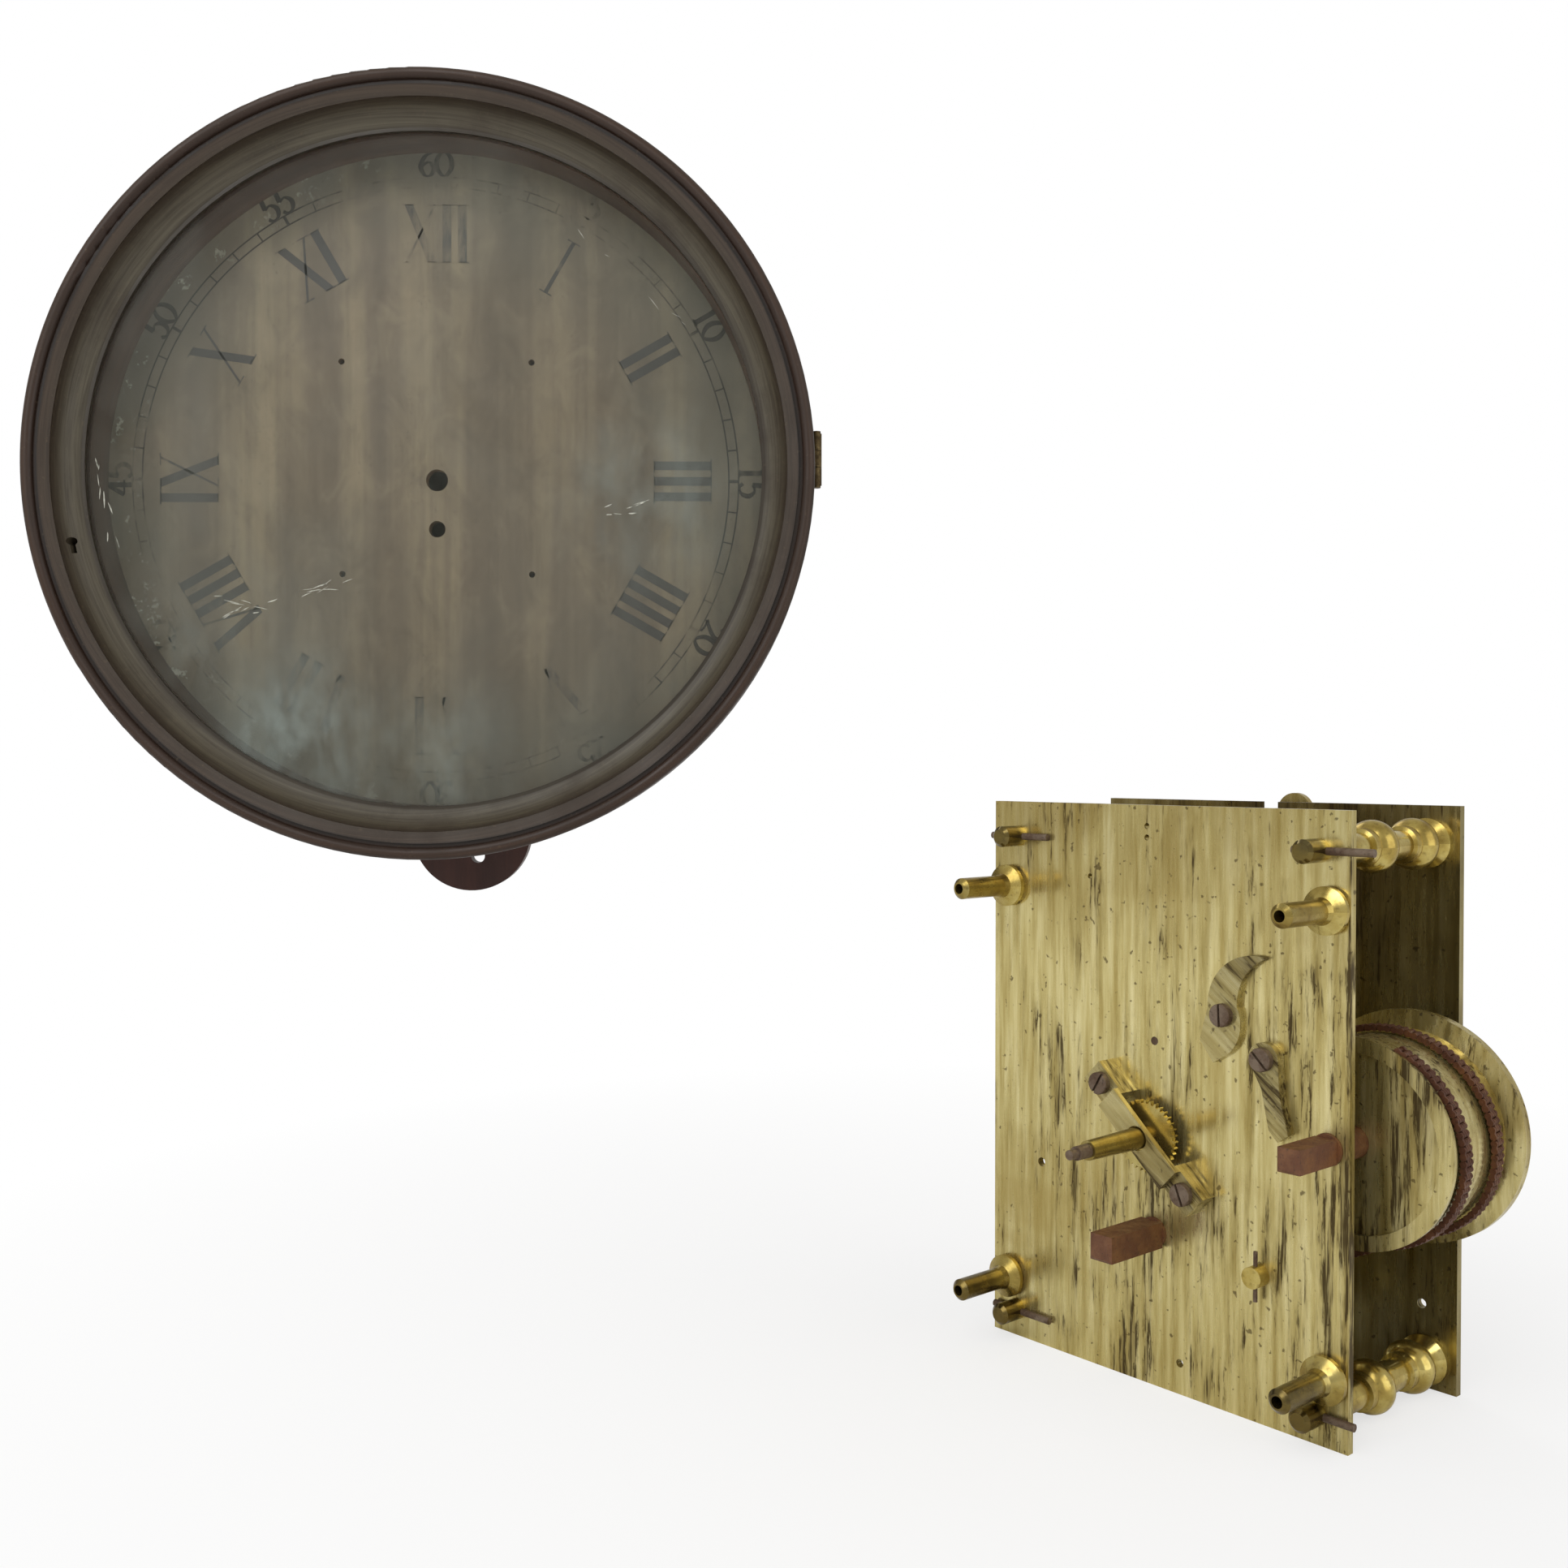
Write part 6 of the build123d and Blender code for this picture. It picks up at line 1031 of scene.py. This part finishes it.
HANGER_SCREWS = [(x, z) for z in (148.0, 168.0) for x in (-13.0, 13.0)]
HANGER_RADIUS, HANGER_HEIGHT, HANGER_SHANK = 3.8, 1.52, 1.9
HANGER_FACE, HANGER_PLATE = 14.0, 2.0
ROOM_SIDE = Vector((0, -1, 0))
hanger_places = [(Vector((x, -HANGER_FACE, z)) * MM, ROOM_SIDE, HANGER_PLATE) for x, z in HANGER_SCREWS]
hanger_screws = screws(
    "hanger_screws", hanger_places, HANGER_RADIUS, HANGER_HEIGHT, HANGER_SHANK, "case"
)
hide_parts("hanging_screws")


# Scratches on the glass: start, end, how many and how wide
SCRATCH_RUNS = (
    ((96, -24), (132, -20), 7, 0.9),
    ((-122, -88), (-46, -64), 16, 0.7),
    ((-136, -70), (-96, -80), 5, 0.5),
    ((-186, 6), (-178, -40), 9, 0.8),
    ((60, 158), (148, 86), 5, 0.35),
)
SCRATCH_STEPS = 5
SCRATCH_AWAY, SCRATCH_TURN, SCRATCH_BEND = 2.5, 0.25, 0.06
SCRATCH_LENGTHS, SCRATCH_WIDTHS = (2.5, 10), (0.4, 1.0)
CLEAR_GLASS_RADIUS = 190.0


def scratch_strip(shell, points, width):
    """Thin flat strip along points on the front of the glass, narrow at both ends."""
    level = -(GLASS_FRONT + SCRATCH_LIFT) * MM
    last = None
    for k, (x, z) in enumerate(points):
        run = heading_at(points, k)
        half = width / 2 * math.sin(math.pi * (k + 0.3) / (len(points) - 0.4))
        pair = [
            shell.verts.new(((x + side * half * run.y) * MM, level, (z - side * half * run.x) * MM))
            for side in (-1, 1)
        ]
        if last:
            shell.faces.new((last[0], last[1], pair[1], pair[0]))
        last = pair


def scratches():
    rng = random.Random(5)
    shell = bmesh.new()
    for start, end, count, width in SCRATCH_RUNS:
        run = end[0] - start[0], end[1] - start[1]
        for _ in range(count):
            share = rng.random()
            x = start[0] + run[0] * share + rng.uniform(-SCRATCH_AWAY, SCRATCH_AWAY)
            z = start[1] + run[1] * share + rng.uniform(-SCRATCH_AWAY, SCRATCH_AWAY)
            heading = math.atan2(run[1], run[0]) + rng.uniform(-SCRATCH_TURN, SCRATCH_TURN)
            length, bend = rng.uniform(*SCRATCH_LENGTHS), rng.uniform(-SCRATCH_BEND, SCRATCH_BEND)
            points = []
            for _ in range(SCRATCH_STEPS + 1):
                points.append((x, z))
                x += math.cos(heading) * length / SCRATCH_STEPS
                z += math.sin(heading) * length / SCRATCH_STEPS
                heading += bend
            if max(math.hypot(*point) for point in points) < CLEAR_GLASS_RADIUS:
                scratch_strip(shell, points, width * rng.uniform(*SCRATCH_WIDTHS))
    face_forward(shell)
    return made(shell, "glass_scratches", closed=False)


finished("glass_scratches", scratches(), "front_door", dust_finish())


# Floor that the movement stands on, white in the camera's eye away from it
TABLE = min(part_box("front_plate")[0].z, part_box("back_plate")[0].z)
FLOOR_HALF = 6.0
PAPER_TONE = (0.86, 0.86, 0.86, 1)
FADE_FROM, FADE_TO, LEAST_WHITE = 0.12, 0.5, 0.68


def paper_finish():
    """Pale paper that takes soft shadows near the movement and fades to white."""
    paper = Finish("pale_floor", 0.9, Specular_IOR_Level=0.1, Base_Color=PAPER_TONE)
    seen = paper.tree.nodes.new("ShaderNodeLightPath").outputs["Is Camera Ray"]
    far = paper.distance(paper.object_place, spot(0, 0))
    share = paper.times(seen, paper.span(far, FADE_FROM, FADE_TO, LEAST_WHITE, 1.0))
    white = paper.tree.nodes.new("ShaderNodeEmission").outputs[0]
    blend = paper.add("MixShader", {0: share, 1: paper.shader.outputs[0], 2: white})
    paper.tree.links.new(blend, paper.tree.nodes["Material Output"].inputs["Surface"])
    return paper


floor_mesh = bpy.data.meshes.new("floor")
sides = (-1, -1), (1, -1), (1, 1), (-1, 1)
floor_mesh.from_pydata([(x * FLOOR_HALF, y * FLOOR_HALF, TABLE) for x, y in sides], [], [(0, 1, 2, 3)])
floor_mesh.materials.append(paper_finish().material)
floor = shown("floor", floor_mesh)


# Light: white behind everything, and a soft room round it
def studio():
    world = bpy.data.worlds.new("studio")
    world.use_nodes = True
    sky = world.node_tree
    sky.nodes.clear()
    white, soft = sky.nodes.new("ShaderNodeBackground"), sky.nodes.new("ShaderNodeBackground")
    white.inputs["Color"].default_value = (1, 1, 1, 1)
    soft.inputs["Color"].default_value = (1.0, 0.985, 0.955, 1)
    soft.inputs["Strength"].default_value = 0.6
    rays, choose = sky.nodes.new("ShaderNodeLightPath"), sky.nodes.new("ShaderNodeMixShader")
    sky.links.new(rays.outputs["Is Camera Ray"], choose.inputs[0])
    sky.links.new(soft.outputs[0], choose.inputs[1])
    sky.links.new(white.outputs[0], choose.inputs[2])
    sky.links.new(choose.outputs[0], sky.nodes.new("ShaderNodeOutputWorld").inputs[0])
    return world


def lamp(name, place, target, size, power):
    light = bpy.data.lights.new(name, "AREA")
    light.size = size
    light.energy = power
    holder = shown(name, light)
    holder.location = place
    holder.rotation_euler = (Vector(target) - Vector(place)).to_track_quat("-Z", "Y").to_euler()


bpy.context.scene.world = studio()
lamp("key", (-0.9, -2.0, 1.3), (0.1, -0.3, -0.1), 1.7, 26)
lamp("fill", (1.7, -1.6, 0.3), (0.2, -0.3, -0.2), 1.6, 9)
lamp("back", (-0.6, 1.6, 1.4), (0.1, -0.1, 0), 1.4, 12)

# Camera, with its focal length in pixels of the photograph
CAMERA_PLACE = (0.1835, -1.074, -0.166)
CAMERA_PITCH, CAMERA_YAW = -0.9, -1.4
FOCAL, IMAGE, SENSOR = 1935.0, 1932.0, 36.0
camera = bpy.data.cameras.new("camera")
camera.sensor_width = SENSOR
camera.lens = FOCAL / IMAGE * SENSOR
camera.clip_start = 0.01
viewer = shown("camera", camera)
viewer.location = CAMERA_PLACE
viewer.rotation_euler = (math.radians(90 + CAMERA_PITCH), 0, math.radians(CAMERA_YAW))
bpy.context.scene.camera = viewer
bpy.context.scene.view_settings.view_transform = "Standard"
